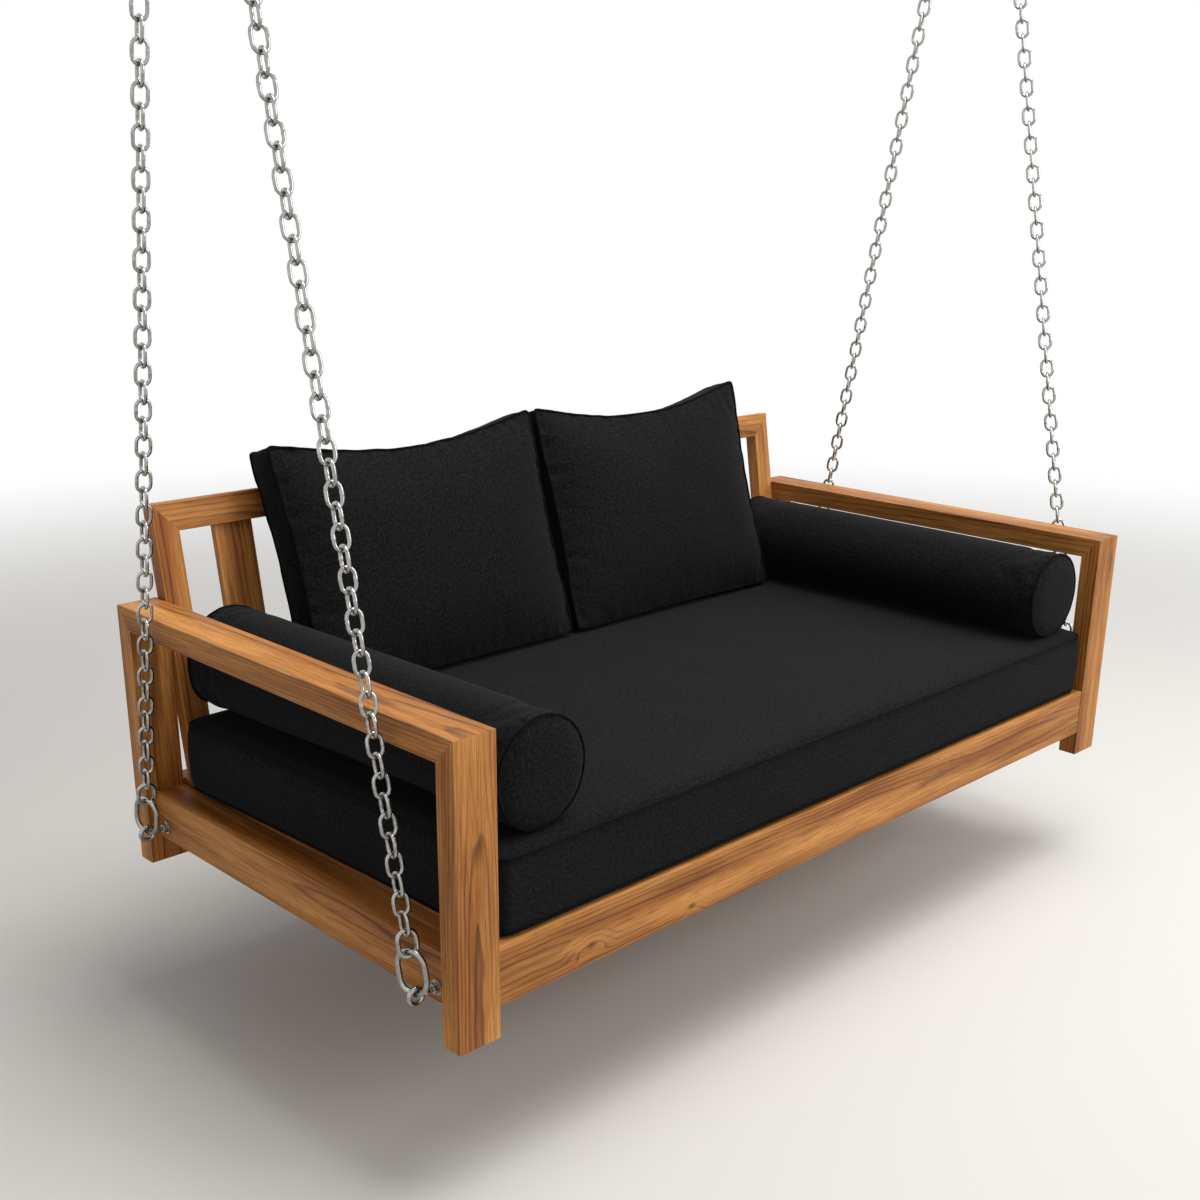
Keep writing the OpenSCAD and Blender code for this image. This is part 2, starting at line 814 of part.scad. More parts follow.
// A boxed cushion in the XY plane, w by h at its corners, its middle at the origin.
// Its faces swell by front (+Z) and back (-Z), and its sides draw in by pull.
module boxed_cushion(w, h, box, front, back, even, pull, corner) {
    ends = GRID + 1;
    round_from = 30;    // the higher, the shorter the corners' rounding
    function in_plane(u, v) =
        let (tuck = 0.3 * corner * abs(u * v) ^ round_from)
        [u * (w / 2 - pull * (1 - v ^ 2) - tuck), v * (h / 2 - pull * (1 - u ^ 2) - tuck)];
    function face_point(i, j, side, rise) =
        let (u = step_at(i))
        let (v = step_at(j))
        let (p = in_plane(u, v))
        [p.x, p.y, side * (box / 2 + rise * swell(u, v, even))];
    rim = [
        for (i = [0 : GRID - 1]) [i, 0],
        for (j = [0 : GRID - 1]) [GRID, j],
        for (i = [GRID : -1 : 1]) [i, GRID],
        for (j = [GRID : -1 : 1]) [0, j]
    ];
    function seam(k, layer) = let (r = rim[k % len(rim)])
        layer == 1 ? 2 * ends * ends + k % len(rim)
            : r.x + r.y * ends + (layer == 2 ? 0 : ends * ends);
    points = [
        for (j = [0 : GRID]) for (i = [0 : GRID]) face_point(i, j, 1, front),
        for (j = [0 : GRID]) for (i = [0 : GRID]) face_point(i, j, -1, back),
        for (r = rim)
            let (p = in_plane(step_at(r.x), step_at(r.y)))
            [p.x * (1 - 2 * boxing_draw / w), p.y * (1 - 2 * boxing_draw / h), 0]
    ];
    faces = [
        for (j = [0 : GRID - 1]) for (i = [0 : GRID - 1])
            let (a = i + j * ends)
            each [[a, a + ends + 1, a + 1], [a, a + ends, a + ends + 1]],
        for (j = [0 : GRID - 1]) for (i = [0 : GRID - 1])
            let (a = i + j * ends + ends * ends)
            each [[a, a + 1, a + ends + 1], [a, a + ends + 1, a + ends]],
        for (layer = [0, 1]) for (k = [0 : len(rim) - 1])
            each [[seam(k, layer), seam(k, layer + 1), seam(k + 1, layer + 1)],
                [seam(k, layer), seam(k + 1, layer + 1), seam(k + 1, layer)]]
    ];
    polyhedron(points, faces, convexity = 4);
}

module mattress()
    color("dimgray")
        translate([0, mid_y + mattress_y, mattress_z + mattress_t / 2])
            boxed_cushion(mattress_w, mattress_d, mattress_t, mattress_crown, 0,
                mattress_even, 0, mattress_corner);

module back_cushion(side)
    color("dimgray")
        intersection() {
            translate([side * (cushion_gap + cushion_w / 2), mid_y + cushion_y, cushion_z])
                rotate([90 - cushion_lean, 0, 0])
                    boxed_cushion(cushion_w, cushion_h, cushion_box, cushion_front, cushion_back,
                        cushion_even, cushion_pull, 0);
            translate([-MUCH / 2, -MUCH / 2, mattress_top + soft_gap])
                cube(MUCH);
        }

// A bolster turned on its length, with domed ends and a flat to lie on
module bolster(side) {
    half = bolster_l / 2 - bolster_dome;
    seam_r = bolster_r - bolster_draw;
    profile = [
        for (a = [0 : 15 : 90]) [seam_r * sin(a), -half - bolster_dome * cos(a)],
        for (s = [-0.95, -0.85, -0.65, -0.35, 0, 0.35, 0.65, 0.85, 0.95])
            [seam_r + bolster_draw * (1 - abs(s) ^ 4), s * half],
        for (a = [90 : -15 : 0]) [seam_r * sin(a), half + bolster_dome * cos(a)]
    ];
    toe = side == LEFT ? left_toe : 0;
    color("dimgray")
        intersection() {
            translate([side * bolster_x, mid_y + bolster_y, bolster_z])
                rotate([90, 0, toe])
                    rotate_extrude($fn = 96)
                        polygon(profile);
            translate([-MUCH / 2, -MUCH / 2, bolster_z - bolster_r + bolster_flat])
                cube(MUCH);
        }
}

post(LEFT, FRONT);  // left_front_post
post(LEFT, BACK);  // left_back_post
post(RIGHT, FRONT);  // right_front_post
post(RIGHT, BACK);  // right_back_post
arm(LEFT);  // left_arm
arm(RIGHT);  // right_arm
side_rail(LEFT);  // left_side_rail
side_rail(RIGHT);  // right_side_rail
apron(FRONT);  // front_apron
apron(BACK);  // back_apron
ledger(FRONT);  // front_ledger
ledger(BACK);  // back_ledger
side_cleat(LEFT);  // left_side_cleat
side_cleat(RIGHT);  // right_side_cleat
center_bearer();
seat_slats();
backrest_stile(LEFT);  // backrest_left_stile
backrest_stile(RIGHT);  // backrest_right_stile
backrest_top_rail();
backrest_bottom_rail();
backrest_slats();
mitre_splines();
backrest_splines();
slat_screws();
ledger_screws();
cleat_screws();
backrest_screws();
eye_bolts();
eye_bolt_washers();
eye_bolt_nuts();
oval_ring(LEFT, FRONT);  // left_front_oval_ring
oval_ring(LEFT, BACK);  // left_back_oval_ring
oval_ring(RIGHT, FRONT);  // right_front_oval_ring
oval_ring(RIGHT, BACK);  // right_back_oval_ring
connecting_link(LEFT, FRONT);  // left_front_connecting_link
connecting_link(LEFT, BACK);  // left_back_connecting_link
connecting_link(RIGHT, FRONT);  // right_front_connecting_link
connecting_link(RIGHT, BACK);  // right_back_connecting_link
chain(LEFT, FRONT);  // left_front_chain
chain(LEFT, BACK);  // left_back_chain
chain(RIGHT, FRONT);  // right_front_chain
chain(RIGHT, BACK);  // right_back_chain
hanging_ring(LEFT);  // left_hanging_ring
hanging_ring(RIGHT);  // right_hanging_ring
ceiling_eye(LEFT);  // left_ceiling_eye
ceiling_eye(RIGHT);  // right_ceiling_eye
mattress();
bolster(LEFT);  // left_bolster
bolster(RIGHT);  // right_bolster
back_cushion(LEFT);  // left_back_cushion
back_cushion(RIGHT);  // right_back_cushion
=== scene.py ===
# %% [markdown]
# # A hanging swing bed
#
# The bed is a hardwood frame with mitred end frames, a raked slatted backrest, a box
# mattress, two bolsters and two back cushions, hung on four chains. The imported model
# already holds every piece at its real size. This lesson dresses it: each visible piece
# is made again with its eased edges, grain, seams and cloth, in the place of the packed
# one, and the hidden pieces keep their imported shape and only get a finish.

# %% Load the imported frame
import math
import random

import bmesh
import bpy
from bmesh.types import BMEdge, BMVert
from mathutils import Matrix, Vector, kdtree, noise


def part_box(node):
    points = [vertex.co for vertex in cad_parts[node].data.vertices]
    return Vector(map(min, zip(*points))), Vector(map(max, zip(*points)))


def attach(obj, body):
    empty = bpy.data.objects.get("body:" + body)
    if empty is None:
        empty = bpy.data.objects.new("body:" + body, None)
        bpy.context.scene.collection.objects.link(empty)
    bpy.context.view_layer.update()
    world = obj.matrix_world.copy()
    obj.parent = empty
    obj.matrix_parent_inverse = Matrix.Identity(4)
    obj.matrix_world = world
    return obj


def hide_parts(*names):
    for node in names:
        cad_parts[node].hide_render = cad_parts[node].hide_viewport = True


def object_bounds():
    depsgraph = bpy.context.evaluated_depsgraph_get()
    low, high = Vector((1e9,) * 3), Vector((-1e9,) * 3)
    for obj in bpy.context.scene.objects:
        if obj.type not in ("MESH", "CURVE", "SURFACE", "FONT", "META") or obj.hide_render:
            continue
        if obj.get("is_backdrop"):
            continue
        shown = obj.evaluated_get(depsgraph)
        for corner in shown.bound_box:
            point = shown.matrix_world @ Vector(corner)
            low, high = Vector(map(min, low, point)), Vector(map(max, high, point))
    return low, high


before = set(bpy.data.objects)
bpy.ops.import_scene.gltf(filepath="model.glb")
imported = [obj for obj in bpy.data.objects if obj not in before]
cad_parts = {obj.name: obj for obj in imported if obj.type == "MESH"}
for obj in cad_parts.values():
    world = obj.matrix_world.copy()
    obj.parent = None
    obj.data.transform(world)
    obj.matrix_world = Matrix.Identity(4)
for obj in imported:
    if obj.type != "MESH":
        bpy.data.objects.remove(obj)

cad_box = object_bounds()
dice = random.Random(11)
print("nodes", len(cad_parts), "box", [list(corner) for corner in cad_box])

# %% [markdown]
# ## Helpers for every finish
#
# A maker picks a colour from a swatch, which a computer writes as an sRGB hex code, but
# light is added up in linear values, so one function turns each code into them. A finish
# is a small net of nodes. Writing each node with its inputs in one call keeps the net
# readable, from the pattern at the top to the surface at the end.

# %% Colours and nodes
def colour(code):
    """The linear colour of an sRGB hex code"""
    parts = [int(code[i:i + 2], 16) / 255 for i in (1, 3, 5)]
    linear = [c / 12.92 if c <= 0.04045 else ((c + 0.055) / 1.055) ** 2.4 for c in parts]
    return (*linear, 1.0)


def add(tree, kind, inputs=None, output=0, **settings):
    """Add a shader node with its settings, fill or link its inputs, and give one output"""
    node = tree.nodes.new("ShaderNode" + kind)
    for name, value in settings.items():
        setattr(node, name, value)
    for name, value in (inputs or {}).items():
        if isinstance(value, bpy.types.NodeSocket):
            tree.links.new(value, node.inputs[name])
        else:
            node.inputs[name].default_value = value
    return node.outputs[output] if node.outputs else None


def new_material(name):
    """An empty node material and its tree"""
    material = bpy.data.materials.new(name)
    material.use_nodes = True
    material.node_tree.nodes.clear()
    return material, material.node_tree


print("oiled teak in linear light", [round(c, 3) for c in colour("#B97B45")[:3]])

# %% [markdown]
# ## Camera, floor and light
#
# The camera stands where the photograph's did: at the bed's left front corner, a little
# above the arms, looking down at it. The lens's axis doesn't meet the middle of the
# picture, which a small shift gives, as on a view camera. The floor is far enough below
# the feet for the bed to hang free. A large lamp overhead and another to the front right
# model the boards, a weak one fills the left, and a pale world fills the rest.

# %% Camera
def new_object(name, data):
    """An object in the scene"""
    thing = bpy.data.objects.new(name, data)
    bpy.context.scene.collection.objects.link(thing)
    return thing


camera_place = Vector((-2.3544, -2.1910, 1.3474))
camera_yaw = math.radians(44.576)
camera_pitch = math.radians(19.132)
camera_roll = math.radians(0.515)
focal_pixels = 1486.1
photo_pixels = 1200
axis_off = 100          # pixels between the picture's middle and the lens's axis

forward = Vector((math.sin(camera_yaw) * math.cos(camera_pitch),
                  math.cos(camera_yaw) * math.cos(camera_pitch), -math.sin(camera_pitch)))
level_right = Vector((math.cos(camera_yaw), -math.sin(camera_yaw), 0))
level_up = level_right.cross(forward)
right = math.cos(camera_roll) * level_right + math.sin(camera_roll) * level_up
up = math.cos(camera_roll) * level_up - math.sin(camera_roll) * level_right

lens = bpy.data.cameras.new("camera")
lens.sensor_width = 36
lens.lens = lens.sensor_width * focal_pixels / photo_pixels
lens.shift_y = axis_off / photo_pixels
lens.clip_end = 200
camera = new_object("camera", lens)
turned = Matrix((right, up, -forward)).transposed().to_4x4()
camera.matrix_world = Matrix.Translation(camera_place) @ turned
bpy.context.scene.camera = camera
bpy.context.scene.view_settings.view_transform = "Standard"
print("lens", round(lens.lens, 2), "mm, shift", round(lens.shift_y, 4))

# %% Floor
def mesh_of(bm):
    """The mesh of a finished bmesh"""
    mesh = bpy.data.meshes.new("shape")
    bm.to_mesh(mesh)
    bm.free()
    return mesh


floor_drop = 0.27       # from the feet to the floor
floor_half = 40.0

floor_bm = bmesh.new()
bmesh.ops.create_grid(floor_bm, x_segments=1, y_segments=1, size=floor_half)
bmesh.ops.translate(floor_bm, vec=(0, 0, -floor_drop), verts=floor_bm.verts)
floor = new_object("floor", mesh_of(floor_bm))
floor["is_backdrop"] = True
print("floor", floor_drop, "m below the feet")

# %% The floor's finish
def seen_as_background(tree):
    """1 for rays from the camera, also by way of metal or glass, and 0 for light on the bed"""
    seen = add(tree, "LightPath", output="Is Camera Ray")
    path = seen.node
    for kind in ("Is Glossy Ray", "Is Transmission Ray"):
        seen = add(tree, "Math", {0: seen, 1: path.outputs[kind]}, operation="MAXIMUM")
    return seen


white_starts = 2.4      # from the bed's middle, where the floor begins to fade into white
white_ends = 6.5

floor_finish, floor_tree = new_material("pale_floor_fading_to_white")
floor_place = add(floor_tree, "TexCoord", output="Object")
floor_away = add(floor_tree, "VectorMath", {0: floor_place}, operation="LENGTH", output="Value")
floor_fade = add(floor_tree, "MapRange", {0: floor_away, 1: white_starts, 2: white_ends},
                 interpolation_type="SMOOTHSTEP")
floor_fade = add(floor_tree, "Math", {0: floor_fade, 1: seen_as_background(floor_tree)},
                 operation="MULTIPLY")
floor_paint = add(floor_tree, "BsdfPrincipled",
                  {"Base Color": colour("#D6D3CE"), "Roughness": 0.7})
floor_white = add(floor_tree, "Emission", {"Color": colour("#FFFFFF")})
floor_skin = add(floor_tree, "MixShader", {0: floor_fade, 1: floor_paint, 2: floor_white})
add(floor_tree, "OutputMaterial", {"Surface": floor_skin})
floor.data.materials.append(floor_finish)
print("floor fades to white from", white_starts, "to", white_ends, "m")

# %% Lamps and world
def lamp(name, place, size, power):
    """A square soft lamp, in metres and watts, turned towards the seat"""
    light = bpy.data.lights.new(name, "AREA")
    light.size = size
    light.energy = power
    stand = new_object(name, light)
    stand.location = place
    stand.rotation_euler = (seat_middle - Vector(place)).to_track_quat("-Z", "Y").to_euler()


seat_middle = Vector((0, 0, 0.3))
lamp("overhead", (0.8, -0.9, 5.2), 3.5, 272)
lamp("front_right", (3.0, -4.6, 2.8), 3.0, 165)
lamp("left_fill", (-5.2, -1.2, 2.2), 2.5, 8)

room_strength = 0.34    # the light that comes from all round
world = bpy.data.worlds.new("pale_room")
world.use_nodes = True
world_tree = world.node_tree
world_tree.nodes.clear()
room_light = add(world_tree, "Background", {"Color": colour("#F3F4F6"), "Strength": room_strength})
room_white = add(world_tree, "Background", {"Color": colour("#FFFFFF"), "Strength": 1.0})
room = add(world_tree, "MixShader",
           {0: seen_as_background(world_tree), 1: room_light, 2: room_white})
add(world_tree, "OutputWorld", {"Surface": room})
bpy.context.scene.world = world

# %% [markdown]
# ## Oiled teak
#
# A board is sawn from a trunk of rings, so its grain isn't a picture laid on its faces: a
# ring comes out of one face and carries on in the next. The finish is worked out the same
# way. Every board's points know their place in their own tree, as an attribute named
# grain with across, depth and along in metres. The distance from the pith gives the ring,
# a slow wander bends the fibres, and the trunk's taper opens the rings into the long
# arches of a flat-sawn face. Late wood is thin and dark, pores are short dashes along the
# fibre, and oil deepens both. Eased edges get a painted highlight: a paler colour on the
# points that the attribute arris marks.

# %% How fibres wander
# Paces per metre and reach, from centimetres over a metre to millimetres over a hand
wander = (((3.6, 3.6, 1.1), 0.030), ((17, 17, 3.4), 0.0065), ((60, 60, 9), 0.0014))


def wandering(tree, place):
    """Bend the fibres"""
    for pace, reach in wander:
        paced = add(tree, "VectorMath", {0: place, 1: pace}, operation="MULTIPLY")
        bend = add(tree, "TexNoise", {"Vector": paced, "Scale": 1.0}, output="Color")
        bend = add(tree, "VectorMath", {0: bend, 1: (0.5, 0.5, 0.5)}, operation="SUBTRACT")
        bend = add(tree, "VectorMath", {0: bend, 1: (reach, reach, 0)}, operation="MULTIPLY")
        place = add(tree, "VectorMath", {0: place, 1: bend}, operation="ADD")
    return place


print("fibres wander by up to", wander[0][1] * 500, "mm to each side")

# %% Rings and knots
ring_width = 0.0064     # growth rings, wide as on plantation teak
trunk_taper = 0.011
late_wood_from = 0.52   # share of a ring after which it darkens
late_wood_to = 0.94     # and where it ends sharply
knot_slant = 0.45       # a branch is cut at a slant, so its knot is longer than high


def turned_aside(tree, radius, knots):
    """Rings turned aside by knots, and the knots' dark cores"""
    cores = None
    for x, z, size in knots:
        spot = add(tree, "TexCoord", output="Object")
        spot = add(tree, "VectorMath", {0: spot, 1: (x, 0, z)}, operation="SUBTRACT")
        spot = add(tree, "VectorMath", {0: spot, 1: (knot_slant, 0, 1)}, operation="MULTIPLY")
        away = add(tree, "VectorMath", {0: spot}, operation="LENGTH", output="Value")
        swirl = add(tree, "MapRange", {0: away, 1: 0.0, 2: size * 4, 3: size * 1.6, 4: 0.0},
                    interpolation_type="SMOOTHERSTEP")
        radius = add(tree, "Math", {0: radius, 1: swirl}, operation="ADD")
        core = add(tree, "MapRange", {0: away, 1: 0.0, 2: size, 3: 0.85, 4: 0.0},
                   interpolation_type="SMOOTHSTEP")
        cores = core if cores is None else add(tree, "Math", {0: cores, 1: core},
                                               operation="MAXIMUM")
    return radius, cores


def late_wood(tree, place, knots):
    """The dark wood of each ring, the knots' cores, and patches where grain is strong"""
    # A ring is the distance from the pith, less the trunk's taper
    flat = add(tree, "VectorMath", {0: place, 1: (1, 1, 0)}, operation="MULTIPLY")
    radius = add(tree, "VectorMath", {0: flat}, operation="LENGTH", output="Value")
    along = add(tree, "SeparateXYZ", {0: place}, output="Z")
    radius = add(tree, "Math", {0: along, 1: trunk_taper, 2: radius}, operation="MULTIPLY_ADD")
    radius, cores = turned_aside(tree, radius, knots)
    uneven = add(tree, "TexNoise", {"Vector": flat, "Scale": 45.0, "Detail": 1.0})
    radius = add(tree, "Math", {0: uneven, 1: ring_width * 1.1, 2: radius},
                 operation="MULTIPLY_ADD")
    ring = add(tree, "Math", {0: radius, 1: 1 / ring_width}, operation="MULTIPLY")
    ring = add(tree, "Math", {0: ring}, operation="FRACT")
    late = add(tree, "MapRange", {0: ring, 1: late_wood_from, 2: late_wood_to},
               interpolation_type="SMOOTHERSTEP")
    close = add(tree, "MapRange", {0: ring, 1: late_wood_to, 3: 1.0, 4: 0.0})
    late = add(tree, "Math", {0: late, 1: close}, operation="MULTIPLY")
    patch = add(tree, "VectorMath", {0: place, 1: (22, 22, 1.6)}, operation="MULTIPLY")
    patch = add(tree, "TexNoise", {"Vector": patch, "Scale": 1.0, "Detail": 3.0})
    depth = add(tree, "MapRange", {0: patch, 1: 0.38, 2: 0.64, 3: 0.15, 4: 1.0})
    return add(tree, "Math", {0: late, 1: depth}, operation="MULTIPLY"), cores, patch


print("rings", ring_width * 1000, "mm wide")

# %% Streaks and pores
fibre_step = 0.0022     # streaks, drawn coarser than the real 0.5 mm so that they show
pore_step = 0.0011
streak_stretch = 45     # a streak's length over its width


def streaks_and_pores(tree, place):
    """Dashes along the fibre, many times longer than wide"""
    for step, low, high in ((fibre_step, 0.40, 0.72), (pore_step, 0.60, 0.70)):
        pace = (1 / step, 1 / step, 1 / step / streak_stretch)
        paced = add(tree, "VectorMath", {0: place, 1: pace}, operation="MULTIPLY")
        dash = add(tree, "TexNoise", {"Vector": paced, "Scale": 1.0})
        yield add(tree, "MapRange", {0: dash, 1: low, 2: high})


print("streaks", fibre_step * streak_stretch * 1000, "mm long")

# %% Teak's finish
arris_highlight = 0.55       # how far an eased edge is painted pale, as a painted highlight
teak_layers = ((0.92, "#46210A"), (0.52, "#743B11"), (0.52, "#3A1B08"))


def teak(name, knots=()):
    """Flat-sawn teak, planed and oiled: satin, orange brown, with dark late wood.
    Knots are (x, z, radius) on a face seen from the front."""
    material, tree = new_material(name)
    place = wandering(tree, add(tree, "Attribute", attribute_name="grain", output="Vector"))
    late, cores, patch = late_wood(tree, place, knots)
    streak, pore = streaks_and_pores(tree, place)

    # Patches shade from orange to brown, then late wood, streaks and pores darken them
    band = add(tree, "MapRange", {0: patch, 1: 0.34, 2: 0.68})
    shade = add(tree, "Mix", {0: band, 6: colour("#D8964D"), 7: colour("#96561B")},
                data_type="RGBA", output=2)
    for mask, (strength, code) in zip((late, streak, pore), teak_layers):
        amount = add(tree, "Math", {0: mask, 1: strength}, operation="MULTIPLY")
        shade = add(tree, "Mix", {0: amount, 6: shade, 7: colour(code)},
                    data_type="RGBA", output=2)
    if cores is not None:
        shade = add(tree, "Mix", {0: cores, 6: shade, 7: colour("#4A2411")},
                    data_type="RGBA", output=2)
    # A painted highlight: the eased edges are painted paler where the attribute arris marks them
    arris = add(tree, "Attribute", attribute_name="arris", output="Fac")
    painted_edge_highlight = add(tree, "Math", {0: arris, 1: arris_highlight}, operation="MULTIPLY")
    shade = add(tree, "Mix", {0: painted_edge_highlight, 6: shade, 7: colour("#DDA56B")}, data_type="RGBA", output=2)
    tone = add(tree, "Attribute", attribute_name="tone", output="Fac")
    shade = add(tree, "HueSaturation", {"Color": shade, "Value": tone})

    # Oil lies smoother on late wood, and the pores stay open
    gloss = add(tree, "MapRange", {0: late, 3: 0.52, 4: 0.42})
    height = add(tree, "Math", {0: pore, 1: -0.7, 2: streak}, operation="MULTIPLY_ADD")
    bump = add(tree, "Bump", {"Height": height, "Strength": 0.35, "Distance": 0.0004})
    surface = add(tree, "BsdfPrincipled", {"Base Color": shade, "Roughness": gloss, "Normal": bump,
                                           "IOR": 1.48, "Specular IOR Level": 0.26})
    add(tree, "OutputMaterial", {"Surface": surface})
    return material


oiled_teak = teak("oiled_teak")
knotty_teak = teak("oiled_teak_with_knots", knots=((-0.741, 0.094, 0.010), (-0.481, 0.078, 0.008)))
print("teak's nodes", *[len(m.node_tree.nodes) for m in (oiled_teak, knotty_teak)])

# %% [markdown]
# ## Hidden hardwood, zinc, steel and canvas
#
# The ledgers, bearer and splines are planed and left bare, so they are paler and duller
# than the teak. The chain and its fittings are plated with bright zinc, whose gloss is a
# little uneven. The canvas is black acrylic cloth in a plain weave: its threads cross one
# over one, and it is matt, with a faint bloom at a grazing angle from the loose fibres.

# %% Plain hardwood for the hidden pieces
def bare_hardwood(name):
    """Planed and unfinished: straight pale grain along X"""
    material, tree = new_material(name)
    place = add(tree, "TexCoord", output="Object")
    place = add(tree, "VectorMath", {0: place, 1: (1.6, 95, 95)}, operation="MULTIPLY")
    grain = add(tree, "TexNoise", {"Vector": place, "Scale": 1.0, "Detail": 4.0, "Roughness": 0.6})
    fine = add(tree, "VectorMath", {0: place, 1: (7, 7, 7)}, operation="MULTIPLY")
    fine = add(tree, "TexNoise", {"Vector": fine, "Scale": 1.0})
    spread = add(tree, "MapRange", {0: grain, 1: 0.35, 2: 0.7})
    shade = add(tree, "Mix", {0: spread, 6: colour("#CDA46F"), 7: colour("#A9794A")},
                data_type="RGBA", output=2)
    dark = add(tree, "MapRange", {0: fine, 1: 0.55, 2: 0.75, 3: 0.0, 4: 0.35})
    shade = add(tree, "Mix", {0: dark, 6: shade, 7: colour("#7C5430")}, data_type="RGBA", output=2)
    bump = add(tree, "Bump", {"Height": fine, "Strength": 0.3, "Distance": 0.0003})
    surface = add(tree, "BsdfPrincipled", {"Base Color": shade, "Roughness": 0.65, "Normal": bump})
    add(tree, "OutputMaterial", {"Surface": surface})
    return material


bare_wood = bare_hardwood("bare_hardwood")
print(bare_wood.name, len(bare_wood.node_tree.nodes), "nodes")

# %% Metals
mottle_size = 0.012
grits_per_metre = 900   # drawn coarser than on real plating, so that they show


def plated(name, bright, dull, smooth, rough):
    """Plated steel: a metal whose mottled skin changes its gloss more than its colour"""
    material, tree = new_material(name)
    place = add(tree, "TexCoord", output="Object")
    mottle = add(tree, "TexNoise", {"Vector": place, "Scale": 1 / mottle_size, "Detail": 4.0,
                                    "Roughness": 0.6})
    mask = add(tree, "MapRange", {0: mottle, 1: 0.38, 2: 0.64})
    shade = add(tree, "Mix", {0: mask, 6: colour(bright), 7: colour(dull)},
                data_type="RGBA", output=2)
    gloss = add(tree, "MapRange", {0: mask, 3: smooth, 4: rough})
    grit = add(tree, "TexNoise", {"Vector": place, "Scale": grits_per_metre, "Detail": 1.0})
    bump = add(tree, "Bump", {"Height": grit, "Strength": 0.06, "Distance": 0.0001})
    surface = add(tree, "BsdfPrincipled", {"Base Color": shade, "Metallic": 1.0,
                                           "Roughness": gloss, "Normal": bump})
    add(tree, "OutputMaterial", {"Surface": surface})
    return material


bright_zinc = plated("bright_zinc_plated_chain", "#ADACA8", "#95948F", 0.10, 0.18)
satin_zinc = plated("zinc_plated_fittings", "#A9A8A4", "#92918C", 0.11, 0.20)
screw_steel = plated("plain_screw_steel", "#B9BABA", "#979797", 0.30, 0.45)
print("metals", [m.name for m in (bright_zinc, satin_zinc, screw_steel)])

# %% Canvas
thread_step = 0.0016    # from thread to thread, twice the real canvas's so that it can show


def canvas(name, deep, plain, lit_thread):
    """Black woven acrylic canvas. The UV map weave is the cloth's own flat measure"""
    material, tree = new_material(name)
    place = add(tree, "UVMap", uv_map="weave")
    turns = add(tree, "VectorMath", {0: place, "Scale": math.pi / thread_step}, operation="SCALE")
    axes = add(tree, "SeparateXYZ", {0: turns}).node
    warp = add(tree, "Math", {0: axes.outputs[0]}, operation="SINE")
    weft = add(tree, "Math", {0: axes.outputs[1]}, operation="SINE")
    over = add(tree, "Math", {0: warp, 1: weft}, operation="MULTIPLY")
    over = add(tree, "Math", {0: over, 1: 0.5, 2: 0.5}, operation="MULTIPLY_ADD")
    warp = add(tree, "Math", {0: warp}, operation="ABSOLUTE")
    weft = add(tree, "Math", {0: weft}, operation="ABSOLUTE")
    threads = add(tree, "Mix", {0: over, 2: warp, 3: weft})
    slub = add(tree, "TexNoise", {"Vector": place, "Scale": 160.0, "Detail": 3.0})
    wear_and_edge_highlight = add(tree, "TexCoord", output="Object")
    wear_and_edge_highlight = add(tree, "TexNoise", {"Vector": wear_and_edge_highlight, "Scale": 7.0, "Detail": 4.0})
    fade = add(tree, "MapRange", {0: wear_and_edge_highlight, 1: 0.35, 2: 0.7})
    shade = add(tree, "Mix", {0: fade, 6: colour(deep), 7: colour(plain)},
                data_type="RGBA", output=2)
    thick = add(tree, "MapRange", {0: slub, 1: 0.36, 2: 0.66})
    lit = add(tree, "Math", {0: threads, 1: thick}, operation="MULTIPLY")
    shade = add(tree, "Mix", {0: lit, 6: shade, 7: colour(lit_thread)}, data_type="RGBA", output=2)
    height = add(tree, "Math", {0: slub, 1: 0.6, 2: threads}, operation="MULTIPLY_ADD")
    bump = add(tree, "Bump", {"Height": height, "Strength": 0.35, "Distance": 0.0004})
    surface = add(tree, "BsdfPrincipled", {
        "Base Color": shade, "Roughness": 0.88, "Specular IOR Level": 0.06, "Normal": bump,
        "Sheen Weight": 0.02, "Sheen Roughness": 0.5})
    add(tree, "OutputMaterial", {"Surface": surface})
    return material


black_canvas = canvas("black_woven_canvas", "#09090A", "#0E0E0F", "#222224")
# Piping is the same canvas cut on the bias over a cord, painted darker as painted shade of its
# seam, so that it shows as a dark line
shaded_piping_canvas = canvas("black_canvas_with_painted_seam_shade", "#040405", "#060607", "#0A0A0B")
print("finishes", sorted(m.name for m in bpy.data.materials if m.users or m.use_nodes))

# %% [markdown]
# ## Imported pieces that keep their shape
#
# What hides under the mattress, and the bent rings, already have their true shape, so a
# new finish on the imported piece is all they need.

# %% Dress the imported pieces
def dress(material, *names):
    """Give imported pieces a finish"""
    for name in names:
        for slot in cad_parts[name].material_slots:
            slot.material = material
    print(material.name, "on", *names)


sides = ("left", "right")
corners = [side + "_" + face for side in sides for face in ("front", "back")]
dress(bare_wood, "front_ledger", "back_ledger", "center_bearer", "mitre_splines",
      "backrest_splines")
dress(screw_steel, *[part + "_screws" for part in ("slat", "ledger", "cleat", "backrest")])
dress(satin_zinc, *[side + part for part in ("_hanging_ring", "_ceiling_eye") for side in sides],
      *[corner + part for part in ("_oval_ring", "_connecting_link") for corner in corners])

# %% [markdown]
# ## Boards
#
# A board starts as a blank a little too long and is sawn to its line, as at the bench: a
# plane cuts off the waste and the cut is closed. Its long edges are then eased by a plane
# or sandpaper, which a small bevel gives, but the faces that meet another board stay
# sharp, so that a mitre closes to a hair line. Last, the board is given its place in a
# tree of its own for the grain.

